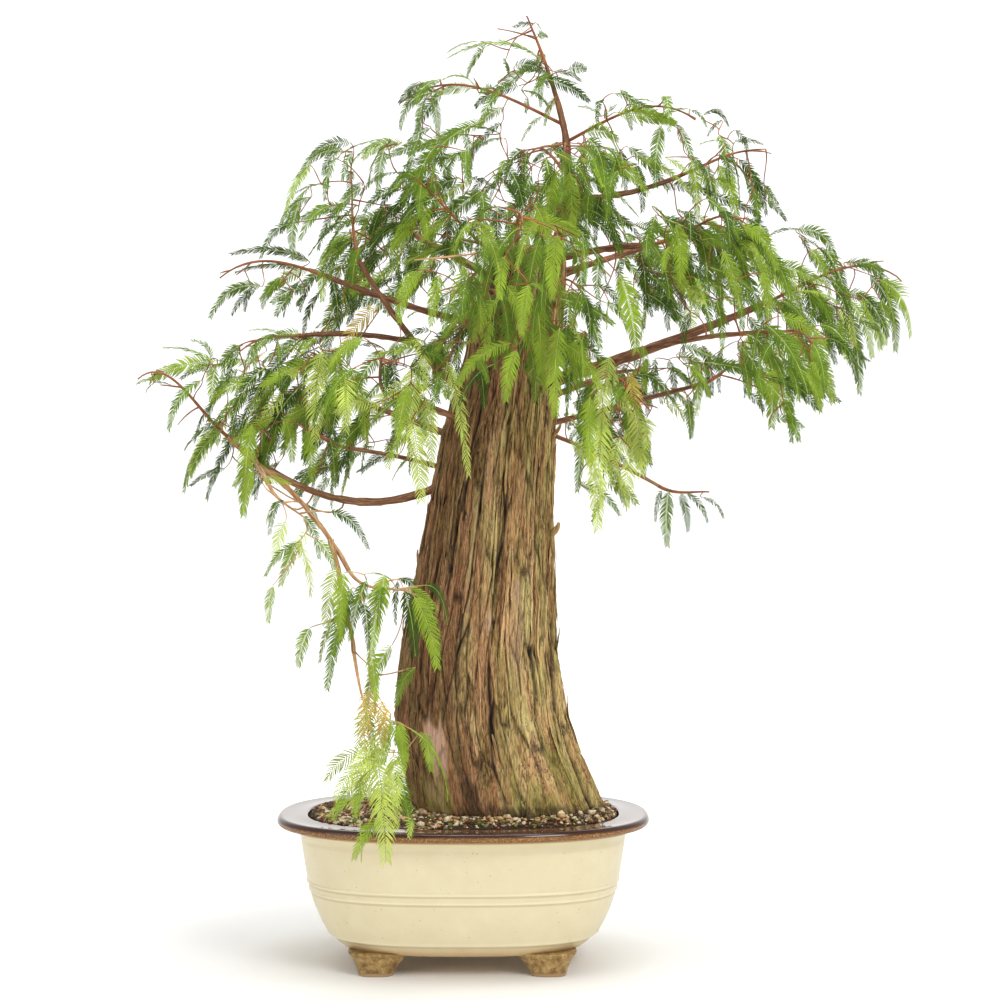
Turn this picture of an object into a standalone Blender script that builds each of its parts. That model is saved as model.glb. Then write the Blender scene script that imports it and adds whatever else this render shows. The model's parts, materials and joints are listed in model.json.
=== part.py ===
"""Bald cypress bonsai in a glazed oval pot, built as separate closed solids.

Metres, +Z up.  The origin is on the table, under the middle of the whole plant: +X is the
side with the longest bough, -Y is the front, where the cascade of foliage hangs over the rim.
"""
import math
from collections import namedtuple

import bmesh
import bpy
import numpy as np
from mathutils import Matrix, Vector
from mathutils.bvhtree import BVHTree

GAP = 0.0003                      # clearance between pieces that touch
RING = 36                         # points round the pot and the soil

# ---------------------------------------------------------------- pot and soil
POT_X = -0.0556                   # the pot's centre, left of the plant's middle
RIM_HALF_LENGTH = 0.170
RIM_HALF_DEPTH = 0.1326
RIM_TOP = 0.1365
RIM_ROLL = 0.0085                 # thickness of the rolled lip
LEDGE = 0.028                     # width of the flat rim
DEPTH_FOLLOWS = 0.9               # how much the short side draws in as the long one does
BOWL_BOTTOM = 0.0185
BOWL_FLOOR = 0.0300
BODY_SQUARENESS = 2.8             # exponent of the plan's superellipse, 2 is an ellipse
RIM_SQUARENESS = 2.45
# height, half length and squareness, from the underside up to the lip's outer edge
BOWL_OUTSIDE = (
    (BOWL_BOTTOM, 0.104, BODY_SQUARENESS),
    (0.0240, 0.1150, BODY_SQUARENESS),
    (0.0340, 0.1250, BODY_SQUARENESS),
    (0.0520, 0.1340, BODY_SQUARENESS),
    (0.0750, 0.1410, BODY_SQUARENESS),
    (0.0960, 0.1450, BODY_SQUARENESS),
    (0.1154, 0.1480, BODY_SQUARENESS),
    (RIM_TOP - RIM_ROLL, 0.1650, RIM_SQUARENESS),
    (RIM_TOP - 0.6 * RIM_ROLL, RIM_HALF_LENGTH, RIM_SQUARENESS),
    (RIM_TOP - 0.2 * RIM_ROLL, 0.1690, RIM_SQUARENESS),
    (RIM_TOP, 0.1660, RIM_SQUARENESS),
)
# height, half length and squareness, from the ledge's inner edge down to the floor
BOWL_INSIDE = (
    (RIM_TOP, RIM_HALF_LENGTH - LEDGE, RIM_SQUARENESS),
    (0.1300, 0.1385, RIM_SQUARENESS),
    (0.0900, 0.1340, BODY_SQUARENESS),
    (0.0500, 0.1230, BODY_SQUARENESS),
    (BOWL_FLOOR, 0.1080, BODY_SQUARENESS),
)
FOOT_REACH = (0.074, 0.056)       # centre of each foot, out from the pot's centre in X and Y
FOOT_TOP_HALF = (0.026, 0.019)
FOOT_SOLE_HALF = (0.018, 0.013)
FOOT_SPLAY = 0.003                # the sole stands this much further out than the top
FOOT_LEVELS = (0.0, 0.45, 1.0)    # heights of a foot's rings, as parts of its height
FOOT_FLARE = 0.7                  # power by which a foot widens upwards
FOOT_SQUARENESS = 3.0
MOUND_SQUARENESS = 2.1
SOIL_EDGE = 0.1330                # height of the soil at the pot's wall
SOIL_HALF_LENGTH = 0.1392         # half length of the soil's edge
SOIL_TOP = 0.1420                 # height of the flat mound that the trunk stands on
MOUND_HALF = (0.0945, 0.0860)

# ---------------------------------------------------------------- trunk
TRUNK_FOOT = SOIL_TOP + GAP
# height above the soil, sideways lean of the middle, half width
TRUNK_ROWS = (
    (0.000, -0.0140, 0.0890),
    (0.010, -0.0185, 0.0880),
    (0.023, -0.0225, 0.0868),
    (0.048, -0.0308, 0.0832),
    (0.083, -0.0395, 0.0800),
    (0.142, -0.0420, 0.0720),
    (0.213, -0.0355, 0.0640),
    (0.288, -0.0293, 0.0563),
    (0.344, -0.0226, 0.0520),
    (0.418, -0.0097, 0.0428),
    (0.474, -0.0010, 0.0396),
    (0.500, 0.0040, 0.0350),
    (0.512, 0.0060, 0.0270),
)
TRUNK_HEIGHT = TRUNK_ROWS[-1][0]
TRUNK_DEPTH = 0.92                # the trunk's depth over its width
# bearing in degrees, width in degrees and strength of each buttress at the root flare
BUTTRESSES = ((352, 16, 0.10), (306, 15, 0.08), (262, 13, 0.05), (222, 16, 0.06),
              (150, 17, 0.06), (98, 15, 0.07), (48, 16, 0.08))
FLUTE_FADE = 0.106                # height over which the buttresses sink into the trunk
FLUTE_LEFT = 0.28                 # part of them that runs on up the bark
TRUNK_RING = 48                   # points round the trunk, one at the bottom of each furrow
# bearing in degrees at the soil, and depth as a share of the half width, of the bark's furrows
FURROWS = ((15.0, 0.045), (45.0, 0.050), (82.5, 0.045), (105.0, 0.040), (135.0, 0.050),
           (165.0, 0.040), (195.0, 0.045), (217.5, 0.040), (247.5, 0.045), (277.5, 0.055),
           (315.0, 0.045), (337.5, 0.040))
FURROW_WIDTH = 7.0                # in degrees, from the bottom to a third of the depth
FURROW_TWIST = 8.0                # how far the furrows wind round by the chopped top

LEADER_FOOT = (0.0300, 0.0)
LEADER_RISE = 0.1690
LEADER_LEAN = -0.0100
LEADER_BOW = 0.0150
LEADER_RADII = (0.0056, 0.0016)
LEADER_STATIONS = 10
LEADER_HEEL = 1.15                # how much wider the leader is where it joins the trunk

# ---------------------------------------------------------------- boughs
# parent and place: a height on the trunk or leader, or a fraction along another bough.
# bearing in degrees from +X towards +Y, then reach, rise, arch and sweep in metres.
Bough = namedtuple("Bough", "name parent at bearing reach rise arch sweep foot tip")
BOUGHS = (
    Bough("bough_right_main", "trunk", 0.520, -5, 0.228, 0.078, -0.004, 0.004, 0.0062, 0.0032),
    Bough("bough_right_shoot", "bough_right_main", 0.50, -38, 0.130, 0.010, 0.004, 0.0, 0.0026, 0.0020),
    Bough("bough_right_low", "trunk", 0.480, 15, 0.198, 0.052, 0.000, 0.005, 0.0030, 0.0020),
    Bough("bough_right_drop", "trunk", 0.497, -12, 0.146, -0.062, 0.006, 0.0, 0.0020, 0.0016),
    Bough("bough_right_upper", "trunk", 0.636, -29, 0.122, 0.014, 0.004, 0.0, 0.0040, 0.0024),
    Bough("bough_right_shoulder", "leader", 0.700, 3, 0.106, 0.022, -0.006, 0.0, 0.0030, 0.0020),
    Bough("bough_left_upper", "trunk", 0.575, 178, 0.170, 0.052, -0.004, 0.006, 0.0034, 0.0024),
    Bough("bough_left_rise", "trunk", 0.500, 204, 0.140, 0.136, -0.020, 0.0, 0.0036, 0.0022),
    Bough("bough_left_middle", "bough_left_rise", 0.52, 186, 0.098, 0.006, 0.004, 0.0, 0.0026, 0.0020),
    Bough("bough_left_inner", "trunk", 0.478, 214, 0.122, 0.040, 0.004, 0.0, 0.0030, 0.0020),
    Bough("bough_left_thin", "trunk", 0.437, 163, 0.140, 0.034, 0.004, 0.0, 0.0022, 0.0018),
    Bough("bough_left_low", "trunk", 0.470, 187, 0.246, 0.010, -0.054, 0.0, 0.0042, 0.0026),
    Bough("bough_cascade", "bough_left_low", 0.93, 297, 0.060, -0.030, 0.004, 0.0, 0.0028, 0.0024),
    Bough("bough_cascade_lower", "bough_cascade", 0.62, 322, 0.108, -0.090, 0.012, 0.0, 0.0024, 0.0020),
    Bough("bough_cascade_drop", "bough_cascade_lower", 0.80, 300, 0.046, -0.094, 0.008, 0.0,
          0.0020, 0.0018),
    Bough("bough_front_high", "trunk", 0.606, 268, 0.150, 0.040, 0.006, 0.0, 0.0040, 0.0024),
    Bough("bough_front_right", "trunk", 0.505, 315, 0.106, 0.030, 0.004, 0.0, 0.0030, 0.0020),
    Bough("bough_back_low_left", "trunk", 0.466, 138, 0.170, 0.050, 0.000, 0.0, 0.0042, 0.0024),
    Bough("bough_back_low_right", "trunk", 0.500, 52, 0.165, 0.045, 0.000, 0.0, 0.0042, 0.0024),
    Bough("bough_back_middle", "trunk", 0.546, 94, 0.155, 0.060, 0.000, 0.0, 0.0042, 0.0024),
    Bough("bough_back_upper_left", "trunk", 0.612, 142, 0.140, 0.070, 0.000, 0.0, 0.0040, 0.0024),
    Bough("bough_back_upper_right", "trunk", 0.620, 38, 0.160, 0.050, 0.000, 0.0, 0.0040, 0.0024),
)
BOUGH_STATIONS = 6
FOOT_DEPTH = 0.55                 # a bough's foot starts this far out in the trunk's radius
BOUGH_TAPER = 0.8                 # power by which a bough thins from foot to tip
WELD = 0.00001                    # points closer than this are one point
FUSED_WELD = 0.000002

# ---------------------------------------------------------------- masses of foliage
# parent, height of the stem on a trunk or None at a bough's tip, centre and half sizes of
# the space that the mass keeps to, the most sprays that it holds and how far they droop.
Mass = namedtuple("Mass", "name parent at centre half sprays droop")
MASSES = (
    Mass("mass_top", "leader_tip", None, (-0.010, 0.000, 0.8200), (0.080, 0.058, 0.0530), 7, 0.3),
    Mass("mass_top_left", "leader", 0.768, (-0.062, -0.020, 0.7580), (0.066, 0.058, 0.058), 6, 0.8),
    Mass("mass_top_right", "leader", 0.752, (0.100, -0.024, 0.7320), (0.074, 0.062, 0.078), 7, 0.9),
    Mass("mass_right_shoulder", "bough_right_shoulder", None,
         (0.190, 0.002, 0.7020), (0.060, 0.064, 0.076), 6, 1.0),
    Mass("mass_upper_centre", "leader", 0.715, (0.035, -0.094, 0.6850), (0.060, 0.064, 0.064), 6, 1.0),
    Mass("mass_upper_left", "trunk", 0.632, (-0.066, -0.076, 0.6720), (0.058, 0.064, 0.072), 6, 1.0),
    Mass("mass_dome_left", "bough_left_rise", None,
         (-0.150, -0.045, 0.6930), (0.080, 0.066, 0.074), 7, 0.9),
    Mass("mass_left_upper", "bough_left_upper", None,
         (-0.226, 0.014, 0.6040), (0.074, 0.062, 0.060), 7, 0.8),
    Mass("mass_left_middle", "bough_left_middle", None,
         (-0.212, -0.056, 0.5260), (0.060, 0.060, 0.066), 6, 1.0),
    Mass("mass_left_inner", "bough_left_inner", None,
         (-0.122, -0.112, 0.5080), (0.052, 0.060, 0.068), 6, 1.0),
    Mass("mass_left_thin", "bough_left_thin", None,
         (-0.218, 0.056, 0.4720), (0.060, 0.056, 0.068), 5, 1.0),
    Mass("mass_left_low", "bough_left_low", None,
         (-0.286, -0.026, 0.4900), (0.070, 0.062, 0.092), 7, 1.0),
    Mass("mass_cascade_upper", "bough_cascade", None,
         (-0.200, -0.112, 0.3560), (0.052, 0.050, 0.086), 6, 1.0),
    Mass("mass_cascade_middle", "bough_cascade_lower", None,
         (-0.118, -0.144, 0.3080), (0.054, 0.048, 0.066), 5, 1.0),
    Mass("mass_cascade_low", "bough_cascade_drop", None,
         (-0.124, -0.184, 0.1900), (0.044, 0.044, 0.078), 5, 1.0),
    Mass("mass_front_left", "trunk", 0.572, (-0.052, -0.132, 0.5600), (0.050, 0.060, 0.066), 6, 1.0),
    Mass("mass_front_right", "trunk", 0.590, (0.038, -0.122, 0.5620), (0.048, 0.060, 0.068), 6, 1.0),
    Mass("mass_front_high", "bough_front_high", None,
         (-0.006, -0.200, 0.6180), (0.070, 0.058, 0.062), 7, 1.0),
    Mass("mass_right_inner", "bough_front_right", None,
         (0.080, -0.102, 0.4640), (0.050, 0.056, 0.084), 6, 1.0),
    Mass("mass_right_upper", "bough_right_upper", None,
         (0.152, -0.096, 0.6340), (0.064, 0.062, 0.060), 6, 1.0),
    Mass("mass_right_tip", "bough_right_main", None,
         (0.276, -0.014, 0.5800), (0.084, 0.068, 0.096), 9, 1.0),
    Mass("mass_right_shoot", "bough_right_shoot", None,
         (0.224, -0.112, 0.5280), (0.058, 0.058, 0.064), 6, 1.0),
    Mass("mass_right_low", "bough_right_low", None,
         (0.182, 0.066, 0.5240), (0.058, 0.058, 0.056), 5, 1.0),
    Mass("mass_right_lone", "bough_right_drop", None,
         (0.152, -0.034, 0.4080), (0.050, 0.044, 0.048), 3, 0.8),
    Mass("mass_back_low_left", "bough_back_low_left", None,
         (-0.168, 0.150, 0.4840), (0.070, 0.066, 0.070), 5, 1.0),
    Mass("mass_back_low_right", "bough_back_low_right", None,
         (0.106, 0.156, 0.5060), (0.070, 0.064, 0.068), 5, 1.0),
    Mass("mass_back_middle", "bough_back_middle", None,
         (-0.024, 0.196, 0.5800), (0.072, 0.064, 0.070), 5, 1.0),
    Mass("mass_back_upper_left", "bough_back_upper_left", None,
         (-0.126, 0.108, 0.6480), (0.070, 0.064, 0.068), 5, 1.0),
    Mass("mass_back_upper_right", "bough_back_upper_right", None,
         (0.152, 0.120, 0.6440), (0.070, 0.064, 0.068), 5, 1.0),
    Mass("mass_back_top", "leader", 0.722, (0.014, 0.100, 0.7200), (0.068, 0.064, 0.064), 5, 0.8),
)
# where a stem ends in its space, as parts of the half sizes; elsewhere it ends far out
STEM_ENDS = {
    "mass_top": (0.15, 0.0, 0.94),
    "mass_left_low": (-0.93, 0.0, 0.46),
    "mass_right_tip": (0.84, 0.0, 0.44),
    "mass_cascade_low": (0.0, 0.0, 0.50),
    "mass_right_lone": (0.70, 0.0, 0.30),
}
STEM_OUT = 0.78                   # how far out and how high all the other stems end
STEM_UP = 0.42
STEM_LIFT = 0.45                  # rise of a stem as it leaves the trunk or the leader
STEM_FALL = -0.8                  # fall of a stem at its end, where it weeps
STEM_CLIMB = 0.6                  # part of the half height above which a stem ends upright
STEM_NECK = 0.002                 # length of a stem that runs straight on from its bough
ARC_PULL = 0.4                    # how far a stem keeps its first and its last direction
SPACE_SQUARENESS = 2.6            # how square the space of a mass is
STEM_RADII = (0.0026, 0.0020)
STEM_STATIONS = 5
TWIG_PLACES = (0.34, 0.54, 0.74, 0.92)
STEM_SPRAYS = (0.45, 0.66, 0.84, 0.30, 0.56, 0.76, 0.38, 0.92)
TWIG_RADII = (0.0017, 0.0014)
TWIG_LIMIT = (0.30, 0.80)         # part of the space that twigs reach: upright, weeping
TWIG_STEP = 0.004
TWIG_SHORTEST = 0.012
TWIG_LONGEST = 0.075
TWIG_SPAN = 0.1                   # part of the stem that gives a twig its bearing
TWIG_LEVEL = 0.001                # least level run of that part; a steeper one counts as +X
TWIG_FORKED = 0.032               # a twig longer than this carries a second spray
TWIG_FORWARD = (0.2, 0.7)         # how far a twig leans along its stem, and how far it rises
TWIG_RISE = (-0.05, 0.25)
TWIG_PART = (0.85, 1.0)           # part of its possible length that a twig grows to
FORK_PLACE = (0.40, 0.55)
FORK_TURN = 60                    # degrees between a twig and its second spray
TIP_PLACE = 0.985                 # where on the stem its end spray is rooted
TWIG_ROOTED = 0.0015              # how deep a spray is rooted in the end of its twig
SPRAY_LENGTH = (0.100, 0.150)
SPRAY_LEAST = 0.056
SPRAY_SHRINKS = (1.0, 0.88, 0.77, 0.68, 0.60, 0.52)
SPRAY_TURNS = (0, 50, 100, 150)   # degrees that a spray may be turned by to find room
SPRAY_WIDTH = 0.40                # width over length
SPRAY_TEETH = 3
SPRAY_END = 0.9                   # where along the rib its last tooth ends
SPRAY_STEPS = 10                  # steps in which the rib droops
SPRAY_BEND = (0.25, 8.0)          # droop at the root, and steps over which the rest comes
SPRAY_PLUMB = 0.97                # the most that a rib may droop, short of plumb
TOOTH_PLACE = 0.72                # where along its stretch of rib a tooth is widest
TOOTH_FORWARD = 0.86              # how far along its stretch a tooth points
VALLEY_WIDTH = 0.34               # width between two teeth, over the width at the teeth
WIDTH_ROOT = 0.50                 # width at the root, over the full width
WIDTH_GROWS = 3.6                 # how fast the width grows from the root
WIDTH_TAPERS = 0.60               # how much of the width is lost by the tip
SPRAY_ROOT = 0.0007               # half width and half thickness where a spray is rooted
SPRAY_HALF_THICKNESS = (0.0011, 0.0007)
SPRAY_CLEARANCE = 0.0008          # extra half thickness that a trial spray has

COLOURS = {
    "glaze_cream": ((0.730, 0.665, 0.450), 0.25, 0.0),
    "foot_amber": ((0.400, 0.235, 0.085), 0.45, 0.0),
    "soil_grit": ((0.230, 0.165, 0.090), 0.95, 0.0),
    "bark_trunk": ((0.265, 0.185, 0.095), 0.90, 0.0),
    "bark_bough": ((0.250, 0.120, 0.065), 0.80, 0.0),
    "cypress_green": ((0.190, 0.330, 0.070), 0.60, 0.0),
}


# ---------------------------------------------------------------- general helpers
def clear_scene():
    """Remove every object that the file opened with."""
    for obj in list(bpy.data.objects):
        bpy.data.objects.remove(obj, do_unlink=True)


def new_collection(name):
    """Make a collection under the scene's own."""
    collection = bpy.data.collections.new(name)
    bpy.context.scene.collection.children.link(collection)
    return collection


def make_material(name):
    """Make one Principled material from the table of colours."""
    colour, roughness, metallic = COLOURS[name]
    material = bpy.data.materials.new(name)
    material.use_nodes = True
    shader = material.node_tree.nodes["Principled BSDF"]
    shader.inputs["Base Color"].default_value = (*colour, 1.0)
    shader.inputs["Roughness"].default_value = roughness
    shader.inputs["Metallic"].default_value = metallic
    material.diffuse_color = (*colour, 1.0)
    return material


def add_object(name, mesh, collection, material=None, smooth=False):
    """Link a mesh as a named object, with its own material."""
    obj = bpy.data.objects.new(name, mesh)
    collection.objects.link(obj)
    if material:
        mesh.materials.append(make_material_copy(material, name))
    if smooth:
        mesh.shade_smooth()
        mesh.set_sharp_from_angle(angle=math.radians(40))
    return obj


def make_material_copy(material, name):
    """Give a piece its own material, in the colour of its kind."""
    own = bpy.data.materials[material].copy()
    own.name = material + "_" + name
    return own


def mesh_from(name, vertices, faces):
    """Make a mesh from vertices and faces, with its faces turned to point outwards."""
    mesh = bpy.data.meshes.new(name)
    mesh.from_pydata([tuple(v) for v in vertices], [], faces)
    bm = bmesh.new()
    bm.from_mesh(mesh)
    bmesh.ops.recalc_face_normals(bm, faces=bm.faces)
    bm.to_mesh(mesh)
    bm.free()
    return mesh


def loft(name, rings):
    """Skin a stack of equal rings, with a flat cap on the first and on the last.

    Every side is split along the same diagonal, so two lofts that share their rings nest.
    """
    count = len(rings[0])
    vertices = [point for ring in rings for point in ring]
    faces = []
    for row in range(len(rings) - 1):
        for k in range(count):
            here, beside = row * count + k, row * count + (k + 1) % count
            faces.append((here, beside, beside + count))
            faces.append((here, beside + count, here + count))
    faces.append(tuple(range(count)))
    faces.append(tuple((len(rings) - 1) * count + k for k in range(count)))
    return mesh_from(name, vertices, faces)


def baked(obj):
    """The mesh of an object as its modifiers or its curve leave it."""
    bpy.context.view_layer.update()
    graph = bpy.context.evaluated_depsgraph_get()
    return bpy.data.meshes.new_from_object(obj.evaluated_get(graph), depsgraph=graph)


def tree_of(mesh):
    """A search tree over a mesh's faces."""
    bm = bmesh.new()
    bm.from_mesh(mesh)
    tree = BVHTree.FromBMesh(bm)
    bm.free()
    return tree


def tube(name, points, radii, resolution):
    """A tapering round limb through the points, as a closed mesh with welded caps."""
    curve = bpy.data.curves.new(name + "_path", "CURVE")
    curve.dimensions = "3D"
    curve.bevel_depth = 1.0
    curve.bevel_resolution = resolution
    curve.use_fill_caps = True
    spline = curve.splines.new("POLY")
    spline.points.add(len(points) - 1)
    for control, point, radius in zip(spline.points, points, radii):
        control.co = (*point, 1.0)
        control.radius = radius
    guide = bpy.data.objects.new(name + "_guide", curve)
    bpy.context.scene.collection.objects.link(guide)
    mesh = baked(guide)
    bpy.data.objects.remove(guide)
    bpy.data.curves.remove(curve)
    bm = bmesh.new()
    bm.from_mesh(mesh)
    bmesh.ops.remove_doubles(bm, verts=bm.verts, dist=WELD)
    bmesh.ops.recalc_face_normals(bm, faces=bm.faces)
    bm.to_mesh(mesh)
    bm.free()
    mesh.name = name
    return mesh


def bearing_vector(degrees):
    """The level direction of a bearing, from +X towards +Y."""
    angle = math.radians(degrees)
    return Vector((math.cos(angle), math.sin(angle), 0.0))


# ---------------------------------------------------------------- pot and soil
def oval(half_length, half_depth, squareness, height, centre=(0.0, 0.0)):
    """A level superellipse ring at a height."""
    angles = np.linspace(0.0, 2.0 * math.pi, RING, endpoint=False)
    power = 2.0 / squareness
    x = np.sign(np.cos(angles)) * np.abs(np.cos(angles)) ** power * half_length
    y = np.sign(np.sin(angles)) * np.abs(np.sin(angles)) ** power * half_depth
    return [(centre[0] + a, centre[1] + b, height) for a, b in zip(x, y)]


def pot_ring(height, half_length, squareness, inset=0.0):
    """A ring of the bowl, whose short side draws in nearly as its long side does."""
    half_depth = RIM_HALF_DEPTH - DEPTH_FOLLOWS * (RIM_HALF_LENGTH - half_length)
    return oval(half_length - inset, half_depth - inset, squareness, height, (POT_X, 0.0))


def build_pot(collection):
    """The glazed bowl: outside, rolled lip, flat ledge and inside in one skin."""
    rings = [pot_ring(*row) for row in BOWL_OUTSIDE + BOWL_INSIDE]
    add_object("pot_bowl", loft("pot_bowl", rings), collection, "glaze_cream", smooth=True)


def build_feet(collection):
    """Four bracket feet, each drawn in from the bowl to its flat sole."""
    for row, side_y in (("front", -1), ("back", 1)):
        for column, side_x in (("left", -1), ("right", 1)):
            rings = []
            for fraction in FOOT_LEVELS:
                spread = fraction ** FOOT_FLARE
                half = [sole + (top - sole) * spread
                        for sole, top in zip(FOOT_SOLE_HALF, FOOT_TOP_HALF)]
                out = FOOT_SPLAY * (1.0 - fraction)
                centre = (POT_X + side_x * (FOOT_REACH[0] + out),
                          side_y * (FOOT_REACH[1] + out))
                height = fraction * (BOWL_BOTTOM - GAP)
                rings.append(oval(*half, FOOT_SQUARENESS, height, centre)[::3])
            name = "pot_foot_" + row + "_" + column
            add_object(name, loft(name, rings), collection, "foot_amber", smooth=True)


def build_soil(collection):
    """The gritty soil, which fills the bowl and mounds up to a flat under the trunk."""
    middle = TRUNK_ROWS[0][1]
    rings = [oval(*MOUND_HALF, MOUND_SQUARENESS, SOIL_TOP, (middle, 0.0)),
             pot_ring(SOIL_EDGE, SOIL_HALF_LENGTH, RIM_SQUARENESS, GAP)]
    for height, half_length, squareness in BOWL_INSIDE[1:]:
        lift = GAP if height == BOWL_FLOOR else 0.0
        rings.append(pot_ring(height + lift, half_length, squareness, GAP))
    add_object("soil", loft("soil", rings), collection, "soil_grit", smooth=True)


# ---------------------------------------------------------------- trunk and leader
def trunk_row(height):
    """Lean and half width of the trunk at a height above the soil."""
    heights, leans, halves = zip(*TRUNK_ROWS)
    return float(np.interp(height, heights, leans)), float(np.interp(height, heights, halves))


def trunk_ring(height, lean, half_width, grown=0.0):
    """One section: buttresses that fade to shallow flutes, and the bark's main furrows."""
    bearings = np.linspace(0.0, 360.0, TRUNK_RING, endpoint=False)
    angles = np.radians(bearings + FURROW_TWIST * height / TRUNK_HEIGHT)
    swell = np.ones_like(angles)
    fade = FLUTE_LEFT + (1.0 - FLUTE_LEFT) * math.exp(-height / FLUTE_FADE)
    for bearing, width, strength in BUTTRESSES:
        away = np.degrees(angles) - bearing
        away = (away + 180.0) % 360.0 - 180.0
        swell += strength * fade * np.exp(-(away / width) ** 2)
    x = np.cos(angles) * swell
    y = np.sin(angles) * swell
    x = lean + half_width * (2.0 * (x - x.min()) / (x.max() - x.min()) - 1.0)
    y = y * half_width * TRUNK_DEPTH / y.max()
    dent = np.zeros_like(angles)
    for bearing, depth in FURROWS:
        away = (bearings - bearing + 180.0) % 360.0 - 180.0
        dent += depth * half_width * np.exp(-(away / FURROW_WIDTH) ** 2)
    x += (grown - dent) * np.cos(angles)
    y += (grown - dent) * np.sin(angles)
    return [(a, b, TRUNK_FOOT + height) for a, b in zip(x, y)]


def trunk_mesh(name, grown=0.0):
    """The whole trunk, from its flat cut at the soil to its chopped top."""
    rings = [trunk_ring(*row, grown) for row in TRUNK_ROWS]
    if grown:
        rings.append(trunk_ring(TRUNK_HEIGHT + grown, *TRUNK_ROWS[-1][1:], grown))
    return loft(name, rings)


def leader_point(height):
    """The leader's centre line at a world height."""
    t = (height - TRUNK_FOOT - TRUNK_HEIGHT) / LEADER_RISE
    x = LEADER_FOOT[0] + LEADER_LEAN * t + LEADER_BOW * math.sin(math.pi * t)
    return Vector((x, LEADER_FOOT[1], height))


def leader_path():
    """Points and radii of the leader, whose foot stands on the trunk's chopped top."""
    foot = TRUNK_FOOT + TRUNK_HEIGHT + GAP
    points = [leader_point(foot + (LEADER_RISE - GAP) * t)
              for t in np.linspace(0.0, 1.0, LEADER_STATIONS)]
    points[0].x = points[1].x
    radii = np.linspace(*LEADER_RADII, LEADER_STATIONS)
    radii[0] *= LEADER_HEEL
    return points, radii


# ---------------------------------------------------------------- boughs
class Limb:
    """A limb that is in place: its path, radii and clearance cutter."""

    def __init__(self, points, radii):
        self.points = points
        self.radii = radii
        self.cutter = None

    def place(self, fraction):
        """The point on the path at a fraction of its stations."""
        where = fraction * (len(self.points) - 1)
        index = min(int(where), len(self.points) - 2)
        return self.points[index].lerp(self.points[index + 1], where - index)

    def tip_direction(self):
        """The direction in which the limb ends."""
        return (self.points[-1] - self.points[-2]).normalized()

    def middle(self, at):
        """The point on the centre line from which a side limb grows."""
        return self.place(at)

    def buried(self, at):
        """How far out from the centre line a side limb's foot starts."""
        return 0.0


class Trunk(Limb):
    """The trunk, where side limbs are placed by height and start inside the wood."""

    def middle(self, at):
        """The middle of the trunk at a height."""
        return Vector((trunk_row(at - TRUNK_FOOT)[0], 0.0, at))

    def buried(self, at):
        """Part of the trunk's half width at a height."""
        return trunk_row(at - TRUNK_FOOT)[1] * FOOT_DEPTH


class Leader(Limb):
    """The leader, where side limbs are placed by height."""

    def middle(self, at):
        """The middle of the leader at a height."""
        return leader_point(at)


def bough_path(bough, parent):
    """A bowed path: level reach along a bearing, a straight rise, an arch and a sweep."""
    heading = bearing_vector(bough.bearing)
    side = Vector((-heading.y, heading.x, 0.0))
    foot = parent.middle(bough.at)
    start = parent.buried(bough.at) / bough.reach
    points = []
    for t in np.linspace(start, 1.0, BOUGH_STATIONS):
        bow = 4.0 * t * (1.0 - t)
        points.append(foot + heading * bough.reach * t + side * bough.sweep * bow
                      + Vector((0.0, 0.0, bough.rise * t + bough.arch * bow)))
    spread = np.linspace(0.0, 1.0, BOUGH_STATIONS)
    radii = bough.foot + (bough.tip - bough.foot) * spread ** BOUGH_TAPER
    return points, radii


def make_cutter(name, limb, cutters):
    """A limb's copy grown by the clearance, hidden, for cutting what stands on it."""
    ends = [limb.points[0], *limb.points[1:-1], limb.points[-1] + limb.tip_direction() * GAP]
    mesh = tube(name + "_clearance", ends, np.asarray(limb.radii) + GAP, 1)
    limb.cutter = add_cutter(name, mesh, cutters)


def add_cutter(name, mesh, cutters):
    """Link a hidden cutter, drawn as wire."""
    cutter = add_object(name + "_clearance", mesh, cutters)
    cutter.hide_render = True
    cutter.display_type = "WIRE"
    return cutter


def cut_by(obj, cutter):
    """Cut an object clear of what it stands on."""
    cut = obj.modifiers.new("clear_of_parent", "BOOLEAN")
    cut.operation = "DIFFERENCE"
    cut.solver = "EXACT"
    cut.object = cutter


def build_limbs(collection, cutters):
    """Trunk, leader and boughs, each cut clear of the limb that it grows from."""
    limbs = {}
    add_object("trunk", trunk_mesh("trunk"), collection, "bark_trunk", smooth=True)
    limbs["trunk"] = Trunk([], [])
    limbs["trunk"].cutter = add_cutter("trunk", trunk_mesh("trunk_clearance", GAP), cutters)
    points, radii = leader_path()
    limbs["leader"] = Leader(points, radii)
    add_object("leader", tube("leader", points, radii, 1), collection, "bark_bough", smooth=True)
    make_cutter("leader", limbs["leader"], cutters)
    parents = {bough.parent for bough in BOUGHS}
    for bough in BOUGHS:
        points, radii = bough_path(bough, limbs[bough.parent])
        limb = Limb(points, radii)
        mesh = tube(bough.name, points, radii, 1)
        obj = add_object(bough.name, mesh, collection, "bark_bough", smooth=True)
        cut_by(obj, limbs[bough.parent].cutter)
        if bough.name in parents:
            make_cutter(bough.name, limb, cutters)
        limbs[bough.name] = limb
    limbs["leader_tip"] = limbs["leader"]
    return limbs


# ---------------------------------------------------------------- masses of foliage
def inside(mass, point, scale=1.0):
    """True where a point lies in the space that a mass keeps to."""
    total = 0.0
    for value, middle, half in zip(point, mass.centre, mass.half):
        total += abs((value - middle) / (half * scale)) ** SPACE_SQUARENESS
    return total < 1.0


def arc(start, first, end, last, count):
    """A cubic curve from start to end, leaving along first and arriving along last."""
    pull = ARC_PULL * (end - start).length
    a, b = start + first * pull, end - last * pull
    points = []
    for t in np.linspace(0.0, 1.0, count):
        u = 1.0 - t
        points.append(start * u ** 3 + a * 3 * u * u * t + b * 3 * u * t * t + end * t ** 3)
    return points


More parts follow.
